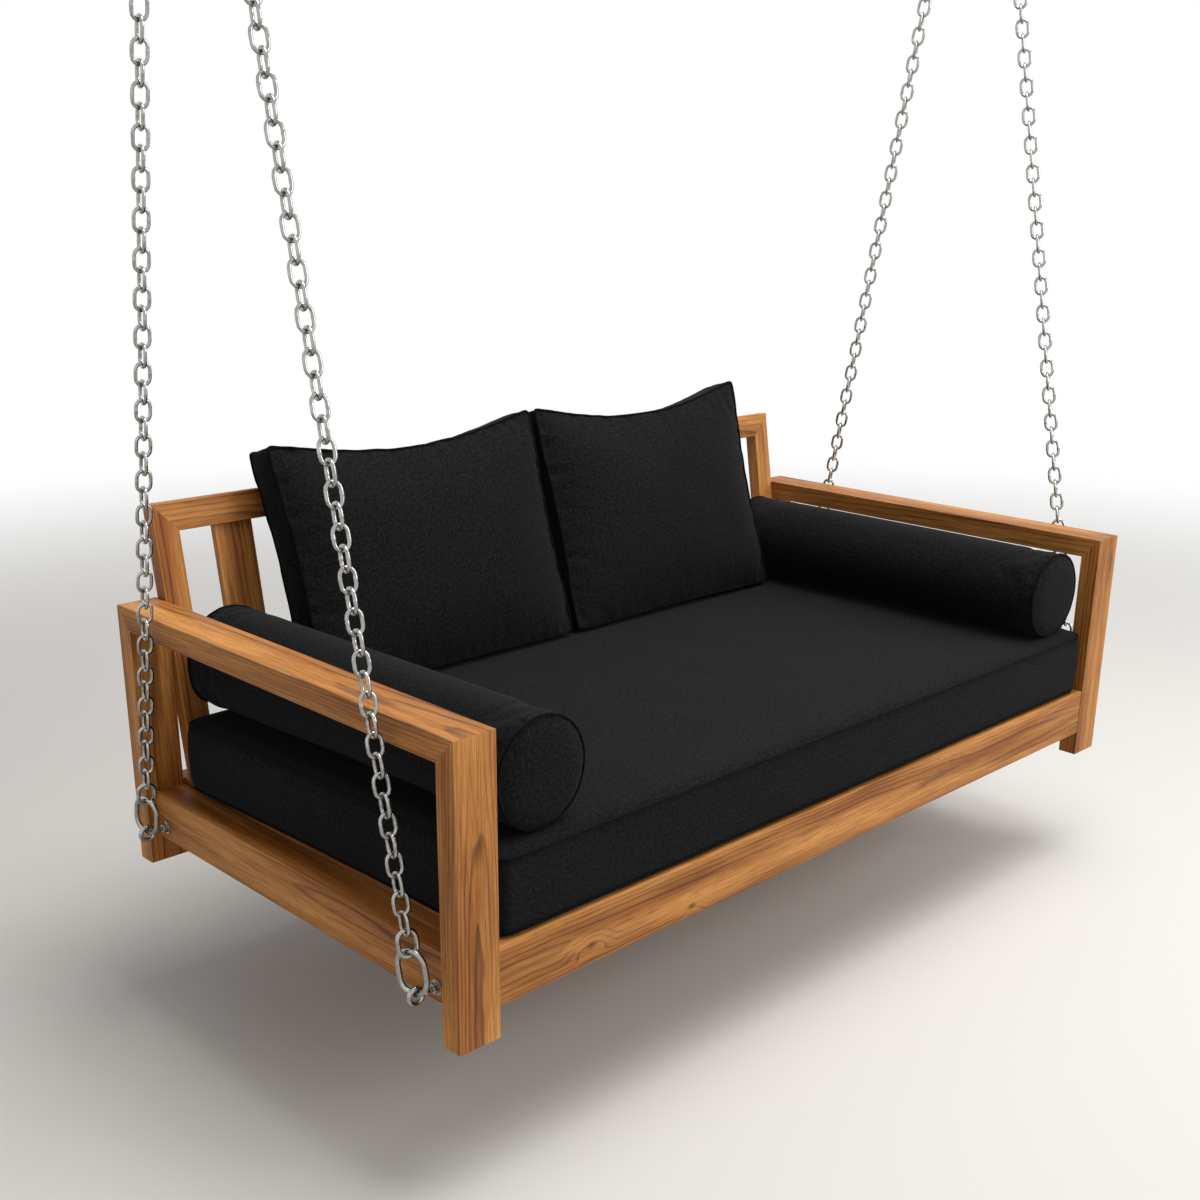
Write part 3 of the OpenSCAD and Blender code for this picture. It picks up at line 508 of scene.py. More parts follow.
# %% Saw and ease
arris_radius = 0.0014
waste = 0.05            # how much longer a blank is than its board
ends_x = ((1, 0, 0), (-1, 0, 0))
ends_y = ((0, 1, 0), (0, -1, 0))
ends_z = ((0, 0, 1), (0, 0, -1))


def only(kind, geom):
    """The points or edges among what an operator gives back"""
    return [g for g in geom if isinstance(g, kind)]


def blank(low, high):
    """A squared blank between two corners"""
    low, high = Vector(low), Vector(high)
    bm = bmesh.new()
    bmesh.ops.create_cube(bm, size=1)
    bmesh.ops.scale(bm, vec=high - low, verts=bm.verts)
    bmesh.ops.translate(bm, vec=(low + high) / 2, verts=bm.verts)
    return bm


def saw(bm, point, waste_side):
    """Saw off what lies beyond a point, towards the waste, and close the cut"""
    cut = bmesh.ops.bisect_plane(bm, geom=bm.verts[:] + bm.edges[:] + bm.faces[:],
                                 plane_co=point, plane_no=waste_side, clear_outer=True)
    bmesh.ops.contextual_create(bm, geom=only(BMEdge, cut["geom_cut"]))
    bmesh.ops.recalc_face_normals(bm, faces=bm.faces)


def round_edges(bm, edges, radius, steps=2):
    """Round edges off, and give the new faces"""
    return bmesh.ops.bevel(bm, geom=edges, offset=radius, offset_type="OFFSET", segments=steps,
                           profile=0.5, affect="EDGES", material=-1)["faces"]


def ease(bm, joined):
    """Round the edges, but not round the faces that meet another board"""
    # The attribute arris marks the rounded faces, which the teak paints paler as a painted
    # highlight
    wear_and_edge_highlight = bm.verts.layers.float.new("arris")
    ways = [Vector(way).normalized() for way in joined]
    sharp = {f for f in bm.faces if any(f.normal.dot(way) > 0.99 for way in ways)}
    edges = [e for e in bm.edges if not sharp & set(e.link_faces)]
    rounded = set(round_edges(bm, edges, arris_radius))
    for vert in bm.verts:
        vert[wear_and_edge_highlight] = 1.0 if set(vert.link_faces) <= rounded else 0.0


print("arrises", arris_radius * 1000, "mm")

# %% Grain, and a board in its place
pith_ranges = ((-0.035, 0.035), (0.035, 0.085), (0, 20))    # how a board lay to its pith
tone_range = (0.86, 1.10)   # boards differ a little in depth


def plane(bm, joined, axes):
    """Ease a sawn board and give every point its place in the tree. The axes are the
    numbers of those across the face, into its depth and along the fibre"""
    ease(bm, joined)
    grain = bm.verts.layers.float_vector.new("grain")
    tone = bm.verts.layers.float.new("tone")
    pith = Vector([dice.uniform(*ends) for ends in pith_ranges])
    shade = dice.uniform(*tone_range)
    middle = sum((v.co for v in bm.verts), Vector()) / len(bm.verts)
    for vert in bm.verts:
        place = vert.co - middle
        vert[grain] = Vector([place[axis] for axis in axes]) + pith
        vert[tone] = shade
    return bm


def gather(parts):
    """Several shapes in one"""
    whole = parts[0]
    for part in parts[1:]:
        loose = mesh_of(part)
        whole.from_mesh(loose)
        bpy.data.meshes.remove(loose)
    return whole


def place_piece(name, mesh, material, body, nodes=(), smooth=False, levels=0):
    """Stand a mesh in the scene with its finish, on its body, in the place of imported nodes"""
    mesh.name = name
    mesh.materials.clear()
    mesh.materials.append(material)
    for face in mesh.polygons:
        face.use_smooth = smooth
    piece = new_object(name, mesh)
    if levels:
        finer = piece.modifiers.new("finer", "SUBSURF")
        finer.levels = finer.render_levels = levels
    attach(piece, body)
    if nodes:
        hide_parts(*nodes)
    print(name, len(mesh.polygons), "faces")
    return piece


def board(node, bm, material=oiled_teak, name=None):
    """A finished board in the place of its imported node"""
    place_piece(name or node + "_board", mesh_of(bm), material, "swing", [node])


print("boards lie", pith_ranges[1], "m from their pith")

# %% [markdown]
# ## End frames
#
# Each end frame is two posts and an arm, mitred at the top corners, with a rail low down
# between the posts and set back from their faces. The mitre runs from the outer corner to
# the inner one, which isn't quite at 45 degrees, because the arm is thicker than the posts.

# %% Posts and arms
post_low, post_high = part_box("left_front_post")
arm_low, arm_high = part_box("left_arm")
post_t = post_high.y - post_low.y
arm_t = arm_high.z - arm_low.z

for side in sides:
    for face, facing in (("front", -1), ("back", 1)):
        node = side + "_" + face + "_post"
        low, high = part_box(node)
        post = blank(low, high + Vector((0, 0, waste)))
        mitre = Vector((0, -facing * arm_t, post_t))
        saw(post, Vector((0, low.y if facing < 0 else high.y, arm_high.z)), mitre)
        board(node, plane(post, [mitre], (0, 1, 2)))
    low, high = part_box(side + "_arm")
    arm = blank(low - Vector((0, waste, 0)), high + Vector((0, waste, 0)))
    mitres = [Vector((0, facing * arm_t, -post_t)) for facing in (-1, 1)]
    for mitre, end in zip(mitres, (low.y, high.y)):
        saw(arm, Vector((0, end, high.z)), mitre)
    board(side + "_arm", plane(arm, mitres, (0, 2, 1)))

# %% Side rails and aprons
inner_low = post_high.y
inner_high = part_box("left_back_post")[0].y
inner_x = -post_high.x
for side in sides:
    low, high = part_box(side + "_side_rail")
    rail = blank((low.x, inner_low, low.z), (high.x, inner_high, high.z))
    board(side + "_side_rail", plane(rail, ends_y, (2, 0, 1)))

for face, material in (("front", knotty_teak), ("back", oiled_teak)):
    low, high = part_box(face + "_apron")
    apron = blank((-inner_x, low.y, low.z), (inner_x, high.y, high.z))
    board(face + "_apron", plane(apron, ends_x, (2, 1, 0)), material)

# %% [markdown]
# ## Seat
#
# The mattress lies on teak slats from ledger to ledger. At each end a cleat on the side
# rail's inner face closes the gap beside the mattress, flush with the rail. Its outline is
# drawn on its face with the notch for the bearer and then given its thickness.

# %% Cleats
notch_gap = 0.001       # clear of the bearer on each side
bearer_low, bearer_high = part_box("center_bearer")
notch_front = bearer_low.y - notch_gap
notch_back = bearer_high.y + notch_gap
notch_top = bearer_high.z + notch_gap
for side in sides:
    low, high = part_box(side + "_side_cleat")
    line = [(low.y, low.z), (notch_front, low.z), (notch_front, notch_top),
            (notch_back, notch_top), (notch_back, low.z), (high.y, low.z),
            (high.y, high.z), (low.y, high.z)]
    cleat = bmesh.new()
    face = cleat.faces.new([cleat.verts.new((low.x, y, z)) for y, z in line])
    thick = bmesh.ops.extrude_face_region(cleat, geom=[face])["geom"]
    bmesh.ops.translate(cleat, vec=(high.x - low.x, 0, 0), verts=only(BMVert, thick))
    bmesh.ops.recalc_face_normals(cleat, faces=cleat.faces)
    board(side + "_side_cleat", plane(cleat, ends_y, (2, 0, 1)))

# %% Seat slats
seat_slat_n = 13
seat_slat_w = 0.070
low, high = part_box("seat_slats")
slat_step = (high.x - low.x - seat_slat_w) / (seat_slat_n - 1)
slats = []
for i in range(seat_slat_n):
    left = low.x + i * slat_step
    slat = blank((left, low.y, low.z), (left + seat_slat_w, high.y, high.z))
    slats.append(plane(slat, [], (0, 2, 1)))
board("seat_slats", gather(slats), name="seat_slat_boards")

# %% [markdown]
# ## Backrest
#
# The backrest is drawn upright, as it lies on the bench: a top rail mitred to two stiles,
# a bottom rail between them, and slats housed in both rails. It is then raked back about
# its foot and the feet are sawn level with the seat.

# %% Rake
rest_rake = math.radians(9.1)
rest_t = 0.034
stile_w = 0.055
stile_in = inner_x - stile_w
foot_waste = 0.030      # drawn below the seat and sawn off

stile_low, stile_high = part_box("backrest_left_stile")
seat_z = stile_low.z
rest_l = (stile_high.z - seat_z) / math.cos(rest_rake)
rake = Matrix.Translation((0, stile_low.y, seat_z)) @ Matrix.Rotation(-rest_rake, 4, "X")


def raked(bm):
    """Lean an upright board back and saw its foot level with the seat"""
    bmesh.ops.transform(bm, matrix=rake, verts=bm.verts)
    if min(v.co.z for v in bm.verts) < seat_z - arris_radius:
        saw(bm, Vector((0, 0, seat_z)), Vector((0, 0, -1)))
    return bm


print("backrest", round(rest_l, 4), "m long along its slope")

# %% Stiles and rails
top_rail_h = 0.060
low_rail_h = 0.066
for side, sign in zip(sides, (-1, 1)):
    near, far = sorted((sign * inner_x, sign * stile_in))
    stile = blank((near, 0, -foot_waste), (far, rest_t, rest_l + waste))
    mitre = Vector((-sign * top_rail_h, 0, stile_w))
    saw(stile, Vector((sign * inner_x, 0, rest_l)), mitre)
    board("backrest_" + side + "_stile", raked(plane(stile, [mitre], (0, 1, 2))))

top_rail = blank((-inner_x - waste, 0, rest_l - top_rail_h), (inner_x + waste, rest_t, rest_l))
mitres = [Vector((sign * top_rail_h, 0, -stile_w)) for sign in (-1, 1)]
for mitre, sign in zip(mitres, (-1, 1)):
    saw(top_rail, Vector((sign * inner_x, 0, rest_l)), mitre)
board("backrest_top_rail", raked(plane(top_rail, mitres, (2, 1, 0))))

low_rail = blank((-stile_in, 0, -foot_waste), (stile_in, rest_t, low_rail_h))
board("backrest_bottom_rail", raked(plane(low_rail, ends_x, (2, 1, 0))))

# %% Backrest slats
rest_slat_n = 10
rest_slat_w = 0.089
rest_slat_t = 0.015
housing = 0.012         # how deep a slat goes into each rail
slat_gap = (2 * stile_in - rest_slat_n * rest_slat_w) / (rest_slat_n + 1)
slats = []
for i in range(rest_slat_n):
    left = -stile_in + slat_gap + i * (slat_gap + rest_slat_w)
    slat = blank((left, (rest_t - rest_slat_t) / 2, low_rail_h - housing),
                 (left + rest_slat_w, (rest_t + rest_slat_t) / 2, rest_l - top_rail_h + housing))
    slats.append(raked(plane(slat, ends_z, (0, 1, 2))))
board("backrest_slats", gather(slats), name="backrest_slat_boards")
print("slats", rest_slat_n, "gap", round(slat_gap * 1000, 1), "mm")

# %% [markdown]
# ## Eye bolts
#
# A forged eye bolt goes through each side rail near its post, with a washer and a nut on
# both faces. The eye is a ring of round wire on the shank. A nut is a hexagon whose
# corners are turned off at both faces, and its thread is cut into the shank.

# %% Where the bolts are
eye_r = 0.014
eye_wire_r = 0.00475
inner_gap = 0.0375      # from the posts' inner faces to the bolts
rail_low, rail_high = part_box("left_side_rail")
bolts_low, bolts_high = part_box("eye_bolts")
chain_x = -(bolts_low.x + eye_r + eye_wire_r)
eye_z = (bolts_low.z + bolts_high.z) / 2
bolt_ys = (inner_low + inner_gap, inner_high - inner_gap)


def at_bolts(name, make, node, smooth=False):
    """One shape at each of the four eye bolts, mirrored to its side"""
    shapes = []
    for sign in (-1, 1):
        for y in bolt_ys:
            bm = make()
            place = Matrix.Translation((0, y, eye_z))
            if sign > 0:
                place = place @ Matrix.Diagonal((-1, 1, 1, 1))
            bmesh.ops.transform(bm, matrix=place, verts=bm.verts)
            bmesh.ops.recalc_face_normals(bm, faces=bm.faces)
            shapes.append(bm)
    place_piece(name, mesh_of(gather(shapes)), satin_zinc, "swing", [node], smooth)


print("bolts at", [round(y, 4) for y in bolt_ys], "and", round(eye_z, 4), "m up")

# %% Washers and nuts
washer_r = 0.014
washer_t = 0.003
washer_rim = 0.0004
nut_r = 0.0098
nut_t = 0.008
nut_chamfer = 0.0011
turn_y = Matrix.Rotation(math.pi / 2, 4, "Y")


def disc(radius, thick, x, rim, segments=32):
    """A flat disc across X with eased rims, from x inwards"""
    bm = bmesh.new()
    bmesh.ops.create_cone(bm, cap_ends=True, segments=segments, radius1=radius, radius2=radius,
                          depth=thick, matrix=Matrix.Translation((x + thick / 2, 0, 0)) @ turn_y)
    rims = [e for e in bm.edges if abs(e.verts[0].co.x - e.verts[1].co.x) < thick / 2]
    round_edges(bm, rims, rim)
    return bm


def washers():
    """A washer on each face of the rail"""
    return gather([disc(washer_r, washer_t, x, washer_rim)
                   for x in (rail_low.x - washer_t, rail_high.x)])


def nuts():
    """A chamfered nut outside each washer"""
    return gather([disc(nut_r, nut_t, x, nut_chamfer, segments=6)
                   for x in (rail_low.x - washer_t - nut_t, rail_high.x + washer_t)])


print("washers", washer_t * 1000, "mm thick, nuts", nut_t * 1000, "mm")

# %% Eyes on their shanks
bolt_r = 0.005
thread_pitch = 0.0015
thread_deep = 0.0009
bolt_spare = 0.008      # how far the bolt stands out of its inner nut


def wire_ring(bm, radius, segments, place):
    """The edges of a round section of wire"""
    ring = bmesh.ops.create_circle(bm, segments=segments, radius=radius,
                                   matrix=Matrix.Translation(place))["verts"]
    return list({e for v in ring for e in v.link_edges})


def eye_bolt():
    """The eye, a torus in the XZ plane, and its shank with a turned thread at its end"""
    eye = bmesh.new()
    bmesh.ops.spin(eye, geom=wire_ring(eye, eye_wire_r, 16, (eye_r, 0, 0)), cent=(0, 0, 0),
                   axis=(0, 1, 0), angle=2 * math.pi, steps=48, use_merge=True)
    bmesh.ops.translate(eye, vec=(-chain_x, 0, 0), verts=eye.verts)
    shank = bmesh.new()
    start = -chain_x + eye_r
    end = rail_high.x + washer_t + nut_t + bolt_spare
    points = [(start, 0.0), (start, bolt_r)]
    thread = rail_low.x - washer_t - nut_t - bolt_spare / 2
    for i in range(round((end - thread) / thread_pitch)):
        points.append((thread + i * thread_pitch, bolt_r))
        points.append((thread + (i + 0.5) * thread_pitch, bolt_r - thread_deep))
    points += [(end, bolt_r - 2 * thread_deep), (end, 0.0)]
    line = [shank.verts.new((px, 0, pr)) for px, pr in points]
    profile = [shank.edges.new(pair) for pair in zip(line, line[1:])]
    bmesh.ops.spin(shank, geom=profile, cent=(0, 0, 0), axis=(1, 0, 0), angle=2 * math.pi,
                   steps=20, use_merge=True)
    bmesh.ops.remove_doubles(shank, verts=shank.verts, dist=1e-6)
    return gather([eye, shank])


at_bolts("forged_eye_bolts", eye_bolt, "eye_bolts", smooth=True)
at_bolts("flat_washers", washers, "eye_bolt_washers")
at_bolts("hexagon_nuts", nuts, "eye_bolt_nuts")

# %% [markdown]
# ## Chains
#
# A link is a length of wire bent round twice and welded on one side, which leaves a small
# bead. It is made as the machine makes it: a round section is drawn up a straight side,
# spun round the bend, drawn down the other side and spun back to its start. Links hang in
# each other by turns across and along, and stand on the line from eye to hanging ring.

# %% A link
link_wire = 0.007
link_w = 0.026
weld_swell = 1.13       # the weld bead over the wire
weld_half = 0.0022      # half the bead's length


def draw(bm, edges, rises):
    """Draw a section of wire straight on, swelling it at the weld"""
    for rise, swollen in rises:
        moved = bmesh.ops.extrude_edge_only(bm, edges=edges)["geom"]
        verts, edges = only(BMVert, moved), only(BMEdge, moved)
        bmesh.ops.translate(bm, vec=(0, 0, rise), verts=verts)
        centre = sum((v.co for v in verts), Vector()) / len(verts)
        bmesh.ops.scale(bm, vec=(swollen, swollen, 1), verts=verts,
                        space=Matrix.Translation(-centre))
    return edges


def bend(bm, edges, z):
    """Spin a section of wire half way round"""
    turned = bmesh.ops.spin(bm, geom=edges, cent=(0, 0, z), axis=(0, 1, 0), angle=-math.pi,
                            steps=7)
    return only(BMEdge, turned["geom_last"])


def bent_link(height):
    """One welded link in the XZ plane"""
    bm = bmesh.new()
    half = (height - link_w) / 2
    edges = wire_ring(bm, link_wire / 2, 8, (link_w / 2, 0, -half))
    edges = bend(bm, draw(bm, edges, [(2 * half, 1)]), half)
    edges = draw(bm, edges, [(weld_half - half, 1), (-weld_half, weld_swell),
                             (-weld_half, 1 / weld_swell), (weld_half - half, 1)])
    bend(bm, edges, -half)
    bmesh.ops.remove_doubles(bm, verts=bm.verts, dist=1e-5)
    bmesh.ops.recalc_face_normals(bm, faces=bm.faces)
    return bm


print("links of", link_wire * 1000, "mm wire")

# %% Links on their lines
link_gap = 0.0003
link_pitch = 0.0331
oval_wire = 0.010
oval_h = 0.076
join_wire = 0.0085
join_h = 0.0445
ring_wire = 0.012
ring_r = 0.038
side_turns = {"left": math.radians(-8), "right": math.radians(25)}   # the lowest link's turn
top_turn = math.radians(22)
turn_ease = 4           # how late on its way up the chain turns

chain_z = eye_z + eye_r - eye_wire_r - link_gap - oval_wire / 2
link_s = (oval_h - (oval_wire + join_wire) / 2 - link_gap
          + join_h - (join_wire + link_wire) / 2 - link_gap)
ring_low, ring_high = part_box("left_hanging_ring")
ring_middle = (ring_low + ring_high) / 2
hold = link_wire + link_gap


def chain(side, sign, y):
    """A row of links from the connecting link to the hanging ring"""
    foot = Vector((sign * chain_x, y, chain_z))
    run = ring_middle.y - y
    rise = ring_middle.z - chain_z
    span = math.hypot(run, rise) - (ring_r - (ring_wire + link_wire) / 2 - link_gap) - link_s
    count = 2 * round((span - hold) / link_pitch / 2)
    pitch = (span - hold) / count
    line = Matrix.Translation(foot) @ Matrix.Rotation(-math.atan2(run, rise), 4, "X")
    start = side_turns[side]
    links = []
    for i in range(count):
        turn = start + (sign * top_turn - start) * (i / (count - 1)) ** turn_ease
        turn += (i + 1) * math.pi / 2
        link = bent_link(pitch + hold)
        place = line @ Matrix.Translation((0, 0, link_s + i * pitch + (pitch + hold) / 2))
        bmesh.ops.transform(link, matrix=place @ Matrix.Rotation(turn, 4, "Z"), verts=link.verts)
        links.append(link)
    print(side, "chain of", count, "links,", round(pitch * 1000, 2), "mm apart")
    return gather(links)


for side, sign in zip(sides, (-1, 1)):
    for face, y in zip(("front", "back"), bolt_ys):
        node = side + "_" + face + "_chain"
        place_piece(node + "_links", mesh_of(chain(side, sign, y)), bright_zinc,
                    "swing", [node], smooth=True)

# %% [markdown]
# ## Covers, filling and piping
#
# A cushion is a sewn cover blown out by its filling. Its cover is cut a little small,
# closed, turned into an even mesh of small squares and then simulated as cloth with air
# pressure inside, while its seams hold their line, so that the faces crown and small
# puckers run out from the seams. The simulation can take a point too far, so each point's
# move runs softly into a limit, and what is loose is smoothed a few times. The piping is
# a cord sewn into the seam, drawn on the seam's line after the filling. The weave follows
# the panels: each face takes its measure from the side that it faces, so the pattern
# changes direction at the seams, as cut cloth does.

# %% An even cover
def evaluated(thing):
    """A new mesh of an object with its modifiers applied"""
    graph = bpy.context.evaluated_depsgraph_get()
    return bpy.data.meshes.new_from_object(thing.evaluated_get(graph))


def bake(cover):
    """Apply a cover's modifiers"""
    mesh = evaluated(cover)
    cover.modifiers.clear()
    cover.vertex_groups.clear()
    cover.data = mesh
    return cover


def even_mesh(bm, voxel):
    """Close a cover and give it an even mesh of squares"""
    cover = new_object("cover", mesh_of(bm))
    remesh = cover.modifiers.new("even", "REMESH")
    remesh.mode = "VOXEL"
    remesh.voxel_size = voxel
    remesh.use_smooth_shade = True
    return bake(cover)


def take(cover):
    """The mesh of a helper object, which goes"""
    mesh = cover.data
    bpy.data.objects.remove(cover)
    return mesh


def nearest(points):
    """A tree that finds the nearest of some points"""
    tree = kdtree.KDTree(len(points))
    for i, point in enumerate(points):
        tree.insert(point, i)
    tree.balance()
    return tree


print("covers are", "filled by simulation")

# %% Filling
cloth_steps = 20
cloth_values = {"quality": 4, "mass": 0.25, "tension_stiffness": 18, "compression_stiffness": 18,
                "shear_stiffness": 8, "bending_stiffness": 1.2, "use_pressure": True,
                "vertex_group_mass": "seams"}


def fill(cover, seams, pressure, slack, cap, seam_reach, rounds):
    """Blow a cover up as cloth, with the points near its seams held, and ease its folds"""
    rest = [v.co.copy() for v in cover.data.vertices]
    tree = nearest(seams)
    # A point is held fully up to 0.4 of the reach from its seam, and not at all past 1.4
    held = cover.vertex_groups.new(name="seams")
    loose = []
    for i, point in enumerate(rest):
        hold = max(0.0, min(1.0, 1.4 - tree.find(point)[2] / seam_reach))
        held.add([i], hold, "REPLACE")
        if hold == 0.0:
            loose.append(i)
    cloth = cover.modifiers.new("cloth", "CLOTH")
    for name, value in cloth_values.items():
        setattr(cloth.settings, name, value)
    cloth.settings.uniform_pressure_force = pressure
    cloth.settings.shrink_min = -slack
    cloth.settings.effector_weights.gravity = 0
    cloth.collision_settings.use_collision = False
    cloth.point_cache.frame_start = 1
    cloth.point_cache.frame_end = cloth_steps
    for step in range(1, cloth_steps + 1):
        bpy.context.scene.frame_set(step)
    bake(cover)
    bpy.context.scene.frame_set(1)
    far = 0.0
    for vert, start in zip(cover.data.vertices, rest):
        move = vert.co - start
        far = max(far, move.length)
        if move.length > 0:
            vert.co = start + move * (cap * math.tanh(move.length / cap) / move.length)
    bm = bmesh.new()
    bm.from_mesh(cover.data)
    bm.verts.ensure_lookup_table()
    for _ in range(rounds):
        bmesh.ops.smooth_vert(bm, verts=[bm.verts[i] for i in loose], factor=0.5,
                              use_axis_x=True, use_axis_y=True, use_axis_z=True)
    bm.to_mesh(cover.data)
    bm.free()
    print("filled", len(rest), "points, the furthest moved", round(far * 1000, 1), "mm")


print("filling takes", cloth_steps, "steps of cloth")

# %% Weave and piping
piping_r = 0.0034
flat_squash = 0.0004    # a cover's flat stays this far off what it lies on


def lay_weave(mesh, turn):
    """Flat measures of the cloth in metres, from the side that each face is on"""
    uv = mesh.uv_layers.new(name="weave")
    back = turn.inverted()
    spin = back.to_3x3()
    for face in mesh.polygons:
        normal = spin @ face.normal
        depth = max(range(3), key=lambda axis: abs(normal[axis]))
        flat = [axis for axis in range(3) if axis != depth]
        for loop in face.loop_indices:
            point = back @ mesh.vertices[mesh.loops[loop].vertex_index].co
            uv.data[loop].uv = (point[flat[0]], point[flat[1]])


def follow(mesh, line):
    """Lay a seam's line on the filled cover, and even out its steps"""
    tree = nearest([vert.co for vert in mesh.vertices])
    spots = [tree.find(point)[0] for point in line]
    for _ in range(4):
        spots = [(spots[i - 1] + spots[i] * 2 + spots[(i + 1) % len(spots)]) / 4
                 for i in range(len(spots))]
    return spots


def above(line, z):
    """Keep a piping's line above what it lies on"""
    return [Vector((p.x, p.y, max(p.z, z + piping_r + flat_squash))) for p in line]


def piping(loops):
    """Round cords along closed lines of points"""
    curve = bpy.data.curves.new("cord", "CURVE")
    curve.dimensions = "3D"
    curve.bevel_depth = piping_r
    curve.bevel_resolution = 1
    for loop in loops:
        spline = curve.splines.new("POLY")
        spline.points.add(len(loop) - 1)
        for point, place in zip(spline.points, loop):
            point.co = (*place, 1)
        spline.use_cyclic_u = True
    cord = new_object("cord", curve)
    mesh = evaluated(cord)
    bpy.data.objects.remove(cord)
    return mesh


def sewn(name, mesh, body, turn=Matrix.Identity(4), nodes=()):
    """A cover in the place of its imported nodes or, without them, a piping, on its body"""
    lay_weave(mesh, turn)
    # Pipings take the darker canvas, whose darkness is painted seam shade
    return place_piece(name, mesh, black_canvas if nodes else shaded_piping_canvas, body, nodes,
                       smooth=True, levels=1 if nodes else 0)


print("piping", piping_r * 2000, "mm thick")

# %% [markdown]
# ## Mattress
#
# The mattress is a foam block in a boxed cover: a top and a bottom panel joined by a
# boxing strip, with piping in both seams and rounded upright corners. Foam holds its shape,
# so its top only crowns by a few millimetres, and the cloth lies in low waves. It is
# shaped from an even mesh by moving its points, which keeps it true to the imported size.
# Between the posts nothing holds its ends, and they swell out over the cleats.

# %% The mattress's block and seams
mattress_low, mattress_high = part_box("mattress")
mattress_crown = 0.008
mattress_corner = 0.030
mattress_t = mattress_high.z - mattress_low.z - mattress_crown
mattress_middle = (mattress_low + mattress_high) / 2
mattress_half = (mattress_high - mattress_low) / 2
edge_low = mattress_low.copy()
edge_high = Vector((mattress_high.x, mattress_high.y, mattress_low.z + mattress_t))


def rounded_box(low, high, corner):
    """A block with rounded upright corners"""
    bm = blank(low, high)
    upright = [e for e in bm.edges if abs(e.verts[0].co.z - e.verts[1].co.z) > 1e-4]
    round_edges(bm, upright, corner, 6)
    return bm


def corner_loop(low, high, z, corner, step=0.01):
    """A closed line round a block's edge with rounded corners, a point every step"""
    loop = []
    inner_low = Vector((low.x + corner, low.y + corner))
    inner_high = Vector((high.x - corner, high.y - corner))
    turns = ((inner_high.x, inner_low.y, -90), (inner_high.x, inner_high.y, 0),
             (inner_low.x, inner_high.y, 90), (inner_low.x, inner_low.y, 180))

    def spot(turn, share):
        x, y, angle = turn
        a = math.radians(angle + 90 * share / 8)
        return Vector((x + corner * math.cos(a), y + corner * math.sin(a), z))

    for k, turn in enumerate(turns):
        loop += [spot(turn, i) for i in range(9)]
        start, goal = loop[-1], spot(turns[(k + 1) % 4], 0)
        count = int((goal - start).length / step)
        loop += [start.lerp(goal, i / count) for i in range(1, count)]
    return loop


print("mattress", [round(2 * half, 3) for half in mattress_half], "m")

# %% How cloth and foam give
def swell(u, v, even):
    """Height of a crowned face at u, v from -1 to 1, from 0 at its seams to 1"""
    return (max(0.0, 1 - abs(u) ** even) * max(0.0, 1 - abs(v) ** even)) ** 0.6


def ripple(point, scale, size):
    """Low waves in cloth, the same on every run"""
    return size * noise.noise(Vector([p * s for p, s in zip(point, scale)]))


end_bulge = 0.012       # how far the ends swell out over the cleats, between the posts
back_bulge = 0.026      # and how much further at their back corners, which nothing holds
post_clear = 0.004      # where the swelling starts, behind the front posts
swell_in = 0.05         # and how long it takes to be full
end_reach = 0.10        # how far in from its ends the mattress gives


def between_posts(point):
    """How far a point near the mattress's ends is pushed out, between the posts"""
    free = max(0.0, min(1.0, (point.y - inner_low - post_clear) / swell_in))
    ended = max(0.0, (abs(point.x) - mattress_half.x + end_reach) / end_reach)
    far_back = (point.y - mattress_low.y) / (mattress_high.y - mattress_low.y)
    swollen = end_bulge + back_bulge * max(0.0, far_back) ** 2
    return math.copysign(swollen * free ** 2 * (3 - 2 * free) * ended ** 2, point.x)


print("ends swell", end_bulge * 1000, "to", (end_bulge + back_bulge) * 1000, "mm")

# %% The mattress's cover
mattress_voxel = 0.014
boxing_bulge = 0.0035
wave = 0.0012           # height of the waves in the cloth
mattress_even = 12      # the higher, the flatter the top stays towards its seams
wave_even = 6
end_boxing = 0.985      # share of the half length where an end's boxing begins
long_boxing = 0.97      # and of the half depth, at the front and back

cover = even_mesh(rounded_box(edge_low, edge_high, mattress_corner), mattress_voxel)
for vert in cover.data.vertices:
    point = vert.co.copy()
    u = (point.x - mattress_middle.x) / mattress_half.x
    v = (point.y - mattress_middle.y) / mattress_half.y
    h = (point.z - edge_low.z) / mattress_t
    if h > 0.5:
        rise = (h - 0.5) * 2
        vert.co.z += rise * mattress_crown * swell(u, v, mattress_even)
        vert.co.z += rise ** 4 * ripple(point, (7, 9, 1), wave) * swell(u, v, wave_even)
    bulge = boxing_bulge * math.sin(math.pi * min(1, max(0, h)))
    bulge += ripple(point, (16, 16, 30), wave)
    if abs(v) > long_boxing:
        vert.co.y += math.copysign(bulge, v) - math.copysign(boxing_bulge, v)
    if abs(u) > end_boxing:
        vert.co.x += math.copysign(bulge, u) - math.copysign(boxing_bulge, u)
    vert.co.x += between_posts(point)
mattress = sewn("mattress_cover", take(cover), "mattress", nodes=["mattress"])

loops = []
for z in (edge_low.z, edge_high.z):
    loop = corner_loop(edge_low, edge_high, z, mattress_corner)
    loop = follow(mattress.data, [p + Vector((between_posts(p), 0, 0)) for p in loop])
    loops.append(above(loop, edge_low.z))
sewn("mattress_piping", piping(loops), "mattress")

# %% [markdown]
# ## Bolsters
#
# A bolster is a tube of canvas with a disc sewn in at each end and piping in the round
# seams. It is filled hard, so it stays nearly round, and its own weight flattens it where
# it lies on the mattress. The filling pushes its front end out a little past the packed
# length, the seams gather the cloth into small puckers, and at the back the cushions
# press on it, so that its lower side spreads there.

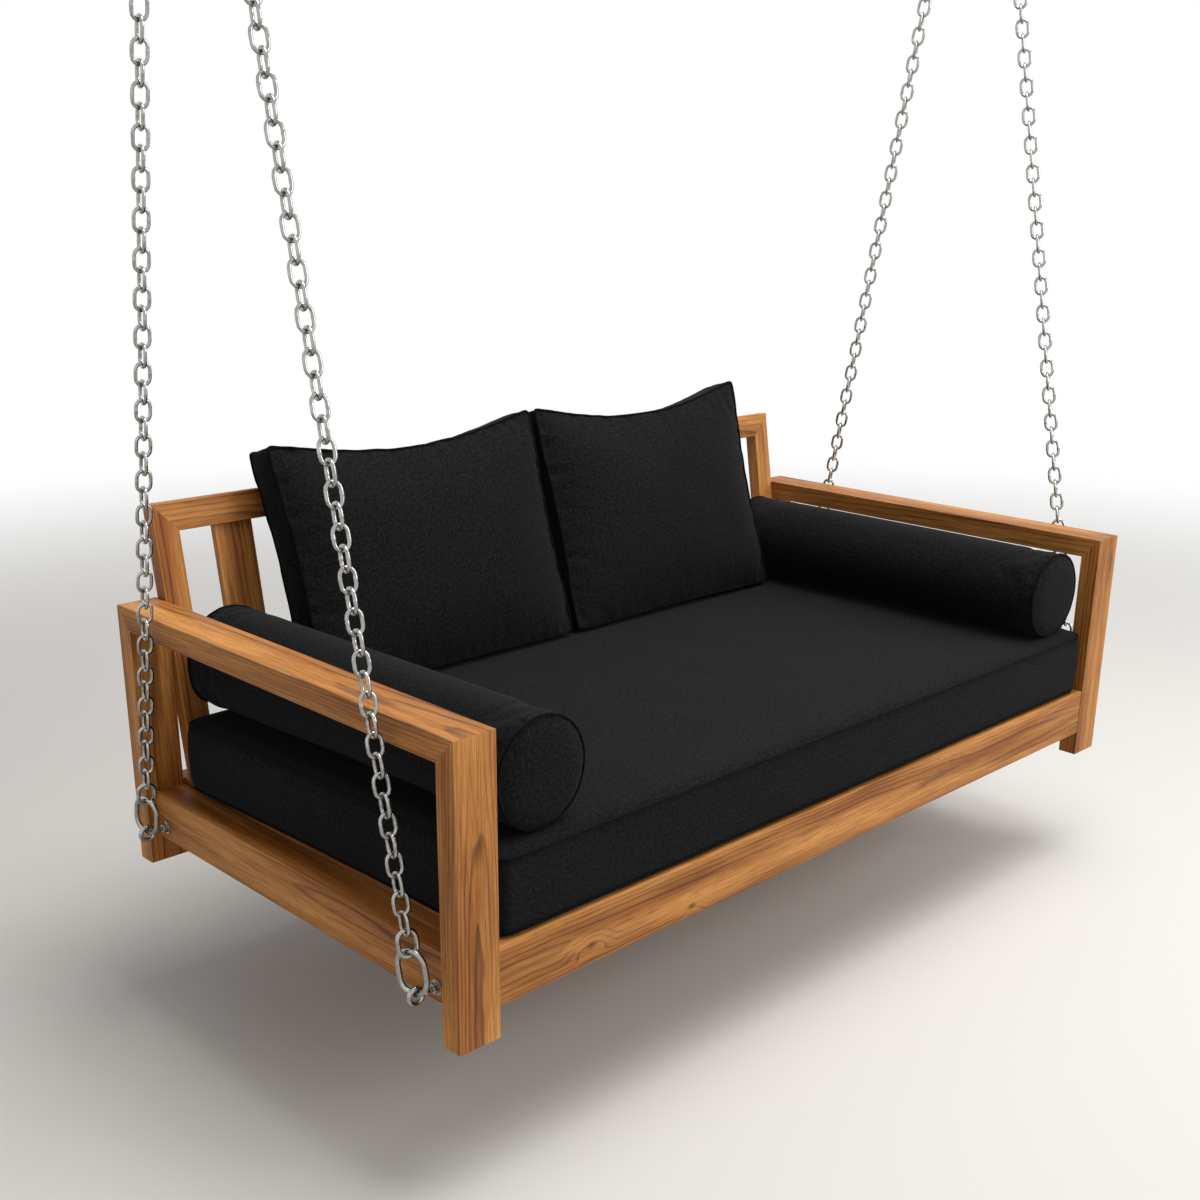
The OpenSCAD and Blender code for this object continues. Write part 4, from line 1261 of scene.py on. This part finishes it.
# %% How a bolster gives
gather_count = 30       # puckers round an end seam
gather_depth = 0.0040
gather_reach = 0.008    # where they are deepest, from the seam
back_slump = 0.11       # how much fuller the lower sides are at the back end


def slumped(point, half):
    """Let a point of the lower half spread where the cushions press on the back end"""
    share = max(0.0, min(1.0, -point.z / half)) if point.y < 0 else 0.0
    spread = back_slump * share * math.sin(2 * math.atan2(point.y, point.x)) ** 2
    return Vector((point.x * (1 + spread), point.y * (1 + spread), point.z))


def gathered(point, half, seam_r):
    """Draw a point in by the puckers that run out from the round seam"""
    flat = math.hypot(point.x, point.y)
    on_disc = abs(point.z) >= half - 0.002
    off_seam = max(0.0, seam_r - flat) if on_disc else half - abs(point.z)
    near = off_seam / gather_reach * math.exp(1 - off_seam / gather_reach)
    angle = math.atan2(point.y, point.x)
    # Noise round the seam sets them apart unevenly and makes some deeper than others
    uneven = noise.noise(Vector((2.4 * math.cos(angle), 2.4 * math.sin(angle),
                                 math.copysign(3, point.z))))
    fold = 0.5 + 0.5 * math.sin(gather_count * angle + 9 * uneven)
    drawn = gather_depth * near * fold * max(0.0, 0.6 + uneven)
    if on_disc:
        point.z -= math.copysign(drawn, point.z)
    elif flat > 0:
        point.x *= 1 - drawn / flat
        point.y *= 1 - drawn / flat


print("puckers", gather_count, "round each end seam")

# %% Bolsters
bolster_dome = 0.022
bolster_draw = 0.004    # how much smaller the seam is than the tube
dome_reach = 0.55       # share of the disc's radius over which it is drawn domed
dome_drawn = 0.5        # share of the dome that is drawn, where filling adds the rest
bolster_voxel = 0.007
front_stretch = 0.020   # how far the filling pushes the front end out
toes = {"left": math.radians(1.5), "right": 0.0}
dome_steps = ((0.16, 0.45), (0.40, 0.40), (0.55, 0.15))     # how far in and up, from the seam
right_low, right_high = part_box("right_bolster")
radius = (right_high.x - right_low.x) / 2
half = (right_high.y - right_low.y + front_stretch) / 2 - bolster_dome
seam_r = radius - bolster_draw
seams = [Vector((seam_r * math.cos(a), seam_r * math.sin(a), s * half))
         for s in (-1, 1) for a in [math.radians(i * 3) for i in range(120)]]

for side in sides:
    body = side + "_bolster"
    low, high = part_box(body)
    middle = (low + high) / 2
    turn = Matrix.Translation((middle.x, middle.y, high.z - radius))
    turn = turn @ Matrix.Rotation(toes[side], 4, "Z")
    turn = turn @ Matrix.Translation((0, -front_stretch / 2, 0))
    upright = turn @ Matrix.Rotation(math.pi / 2, 4, "X")

    bm = bmesh.new()
    bmesh.ops.create_cone(bm, cap_ends=True, segments=64, radius1=seam_r, radius2=seam_r,
                          depth=2 * half)
    ends = [f for f in bm.faces if len(f.verts) > 4]
    for inward, rise in dome_steps:
        bmesh.ops.inset_individual(bm, faces=ends, thickness=seam_r * inward * dome_reach,
                                   depth=bolster_dome * dome_drawn * rise)
    cover = even_mesh(bm, bolster_voxel)
    fill(cover, seams, pressure=3.0, slack=0.010, cap=0.012, seam_reach=0.009, rounds=2)
    limit = half + bolster_dome
    for vert in cover.data.vertices:
        gathered(vert.co, half, seam_r)
        flat = math.hypot(vert.co.x, vert.co.y)
        reach = radius if abs(vert.co.z / half) < 1 else seam_r
        if flat > reach:
            vert.co.x *= reach / flat
            vert.co.y *= reach / flat
        vert.co.z = max(-limit, min(limit, vert.co.z))
        vert.co = upright @ slumped(vert.co, half)
        vert.co.z = max(vert.co.z, low.z + flat_squash)
    bolster = sewn(body + "_cover", take(cover), body, turn, [body])
    loops = [follow(bolster.data, [upright @ slumped(p, half) for p in seams if p.z * s > 0])
             for s in (-1, 1)]
    sewn(body + "_piping", piping([above(loop, low.z) for loop in loops]), body, turn)

# %% [markdown]
# ## Back cushions
#
# Each back cushion is boxed too, but filled with something soft: its faces swell between
# the seams, its sides draw in and its corners stand out as ears. The upper edge sinks
# between its ears, the outer ear leans out or sinks by its own amount, and short puckers
# run out from the seams. It leans on the backrest with its lower edge settled on the
# mattress.

# %% The cushion's outline
cushion_w = 0.718
cushion_h = 0.542
cushion_box = 0.073
cushion_pull = 0.012    # how far the sides draw in between the corners
cushion_sag = 0.055     # how far the upper edge sinks between its ears
ear_rise = 0.007        # how far the filling lifts the upper edge
ear_spread = 0.008      # how far the outer ear leans out
ear_blunt = 0.009       # how far the ears are turned in at their tips
slumps = {"left": 0.008, "right": -0.010}   # how far the outer ear has sunk


def outline(u, v, outer, slump):
    """The cushion's outline: drawn in between its ears, most at its upper edge, and with
    its outer ear moved a little"""
    pull = cushion_sag if v > 0 else cushion_pull
    blunt = ear_blunt * abs(u * v) ** 10
    outward = ((1 + outer * u) / 2) ** 3
    sunk = (slump * outward - ear_rise) * max(0, v)
    spread = ear_spread * outer * outward * max(0, v) ** 2
    return Vector((u * (cushion_w / 2 - cushion_pull * (1 - v ** 2) - blunt) + spread,
                   v * (cushion_h / 2 - pull * (1 - u ** 2) - blunt) - sunk, 0))


def seam_line(z, outer, slump, steps=96):
    """The seam round one face"""
    spots = [2 * i / steps - 1 for i in range(steps)]
    ring = [(s, -1) for s in spots] + [(1, s) for s in spots]
    ring += [(-s, 1) for s in spots] + [(-1, -s) for s in spots]
    return [outline(u, v, outer, slump) + Vector((0, 0, z)) for u, v in ring]


print("cushion", cushion_w, "by", cushion_h, "by", cushion_box, "m at its seams")

# %% The cushion's faces
cushion_front = 0.045   # how far the front face swells
cushion_back = 0.030
cushion_even = 2.6      # the higher, the flatter a face stays towards its seams
panel_grid = 24
pucker_depth = 0.0042
pucker_step = 0.024     # from pucker to pucker along a seam
pucker_reach = 0.011    # where they are deepest, from the seam


def cushion_cover(swell_share, outer, slump):
    """The cover before filling: two panels and the boxing between them"""
    bm = bmesh.new()
    bmesh.ops.create_grid(bm, x_segments=panel_grid, y_segments=panel_grid, size=1)
    shell = bmesh.ops.extrude_face_region(bm, geom=bm.faces[:])["geom"]
    front = set(only(BMVert, shell))
    for vert in bm.verts:
        u, v = vert.co.x, vert.co.y
        puff = swell_share * swell(u, v, cushion_even)
        z = cushion_box / 2 + cushion_front * puff
        if vert not in front:
            z = -cushion_box / 2 - cushion_back * puff
        vert.co = outline(u, v, outer, slump) + Vector((0, 0, z))
    bmesh.ops.recalc_face_normals(bm, faces=bm.faces)
    return bm


def puckered(cover, lines):
    """Draw the two panels in by the puckers that run out from their seams"""
    tree = nearest([point for line in lines for point in line])
    for vert in cover.data.vertices:
        if abs(vert.co.z) <= cushion_box / 2:
            continue
        spot, _, away = tree.find(vert.co)
        near = away / pucker_reach * math.exp(1 - away / pucker_reach)
        place = spot / pucker_step
        uneven = noise.noise(Vector((place.x, place.y, math.copysign(5, vert.co.z))))
        fold = max(0.0, 0.35 + 1.6 * uneven)
        vert.co.z -= math.copysign(pucker_depth * near * fold, vert.co.z)


print("puckers about", pucker_step * 1000, "mm apart")

# %% Back cushions
cushion_lean = math.radians(17)
cushion_gap = 0.003     # from the bed's middle to each cushion
cushion_y = 0.395373
cushion_z = 0.578430
cushion_voxel = 0.007
simulated_swell = 0.92  # share of the swelling that is drawn, where filling adds the rest
rest_on_z = mattress_high.z + 0.0003
backrest_normal = (rake.to_3x3() @ Vector((0, 1, 0))).normalized()
backrest_point = Vector((0, stile_low.y, seat_z))


def settle(point, off):
    """Keep a point on its side of the mattress and of the backrest"""
    point.z = max(point.z, rest_on_z + off)
    beyond = (point - backrest_point).dot(backrest_normal) + off
    if beyond > 0 and point.z < stile_high.z + 0.01:
        point -= backrest_normal * beyond
    return point


for side, sign in zip(sides, (-1, 1)):
    body = side + "_back_cushion"
    place = Matrix.Translation((sign * (cushion_gap + cushion_w / 2), cushion_y, cushion_z))
    place = place @ Matrix.Rotation(math.pi / 2 - cushion_lean, 4, "X")
    drawn = simulated_swell
    cover = even_mesh(cushion_cover(drawn, sign, slumps[side]), cushion_voxel)
    lines = [seam_line(z, sign, slumps[side]) for z in (-cushion_box / 2, cushion_box / 2)]
    fill(cover, lines[0] + lines[1], pressure=3.2, slack=0.009, cap=0.022, seam_reach=0.010,
         rounds=4)
    puckered(cover, lines)
    for vert in cover.data.vertices:
        vert.co = settle(place @ vert.co, flat_squash)
    cushion = sewn(body + "_cover", take(cover), body, place, [body])
    loops = [[settle(p, piping_r + flat_squash)
              for p in follow(cushion.data, [place @ p for p in line])] for line in lines]
    sewn(body + "_piping", piping(loops), body, place)

# %% [markdown]
# ## Measures
#
# The dressed bed is meant to stay as large as the imported one, apart from the little that
# cloth stands proud, so both boxes are measured and how far the dressed one grew is printed.

# %% Sizes and the end
dressed_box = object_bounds()
grown = [round((dressed_box[i][a] - cad_box[i][a]) * 1000, 1) for i in (0, 1) for a in range(3)]
print("grew by", grown, "mm")
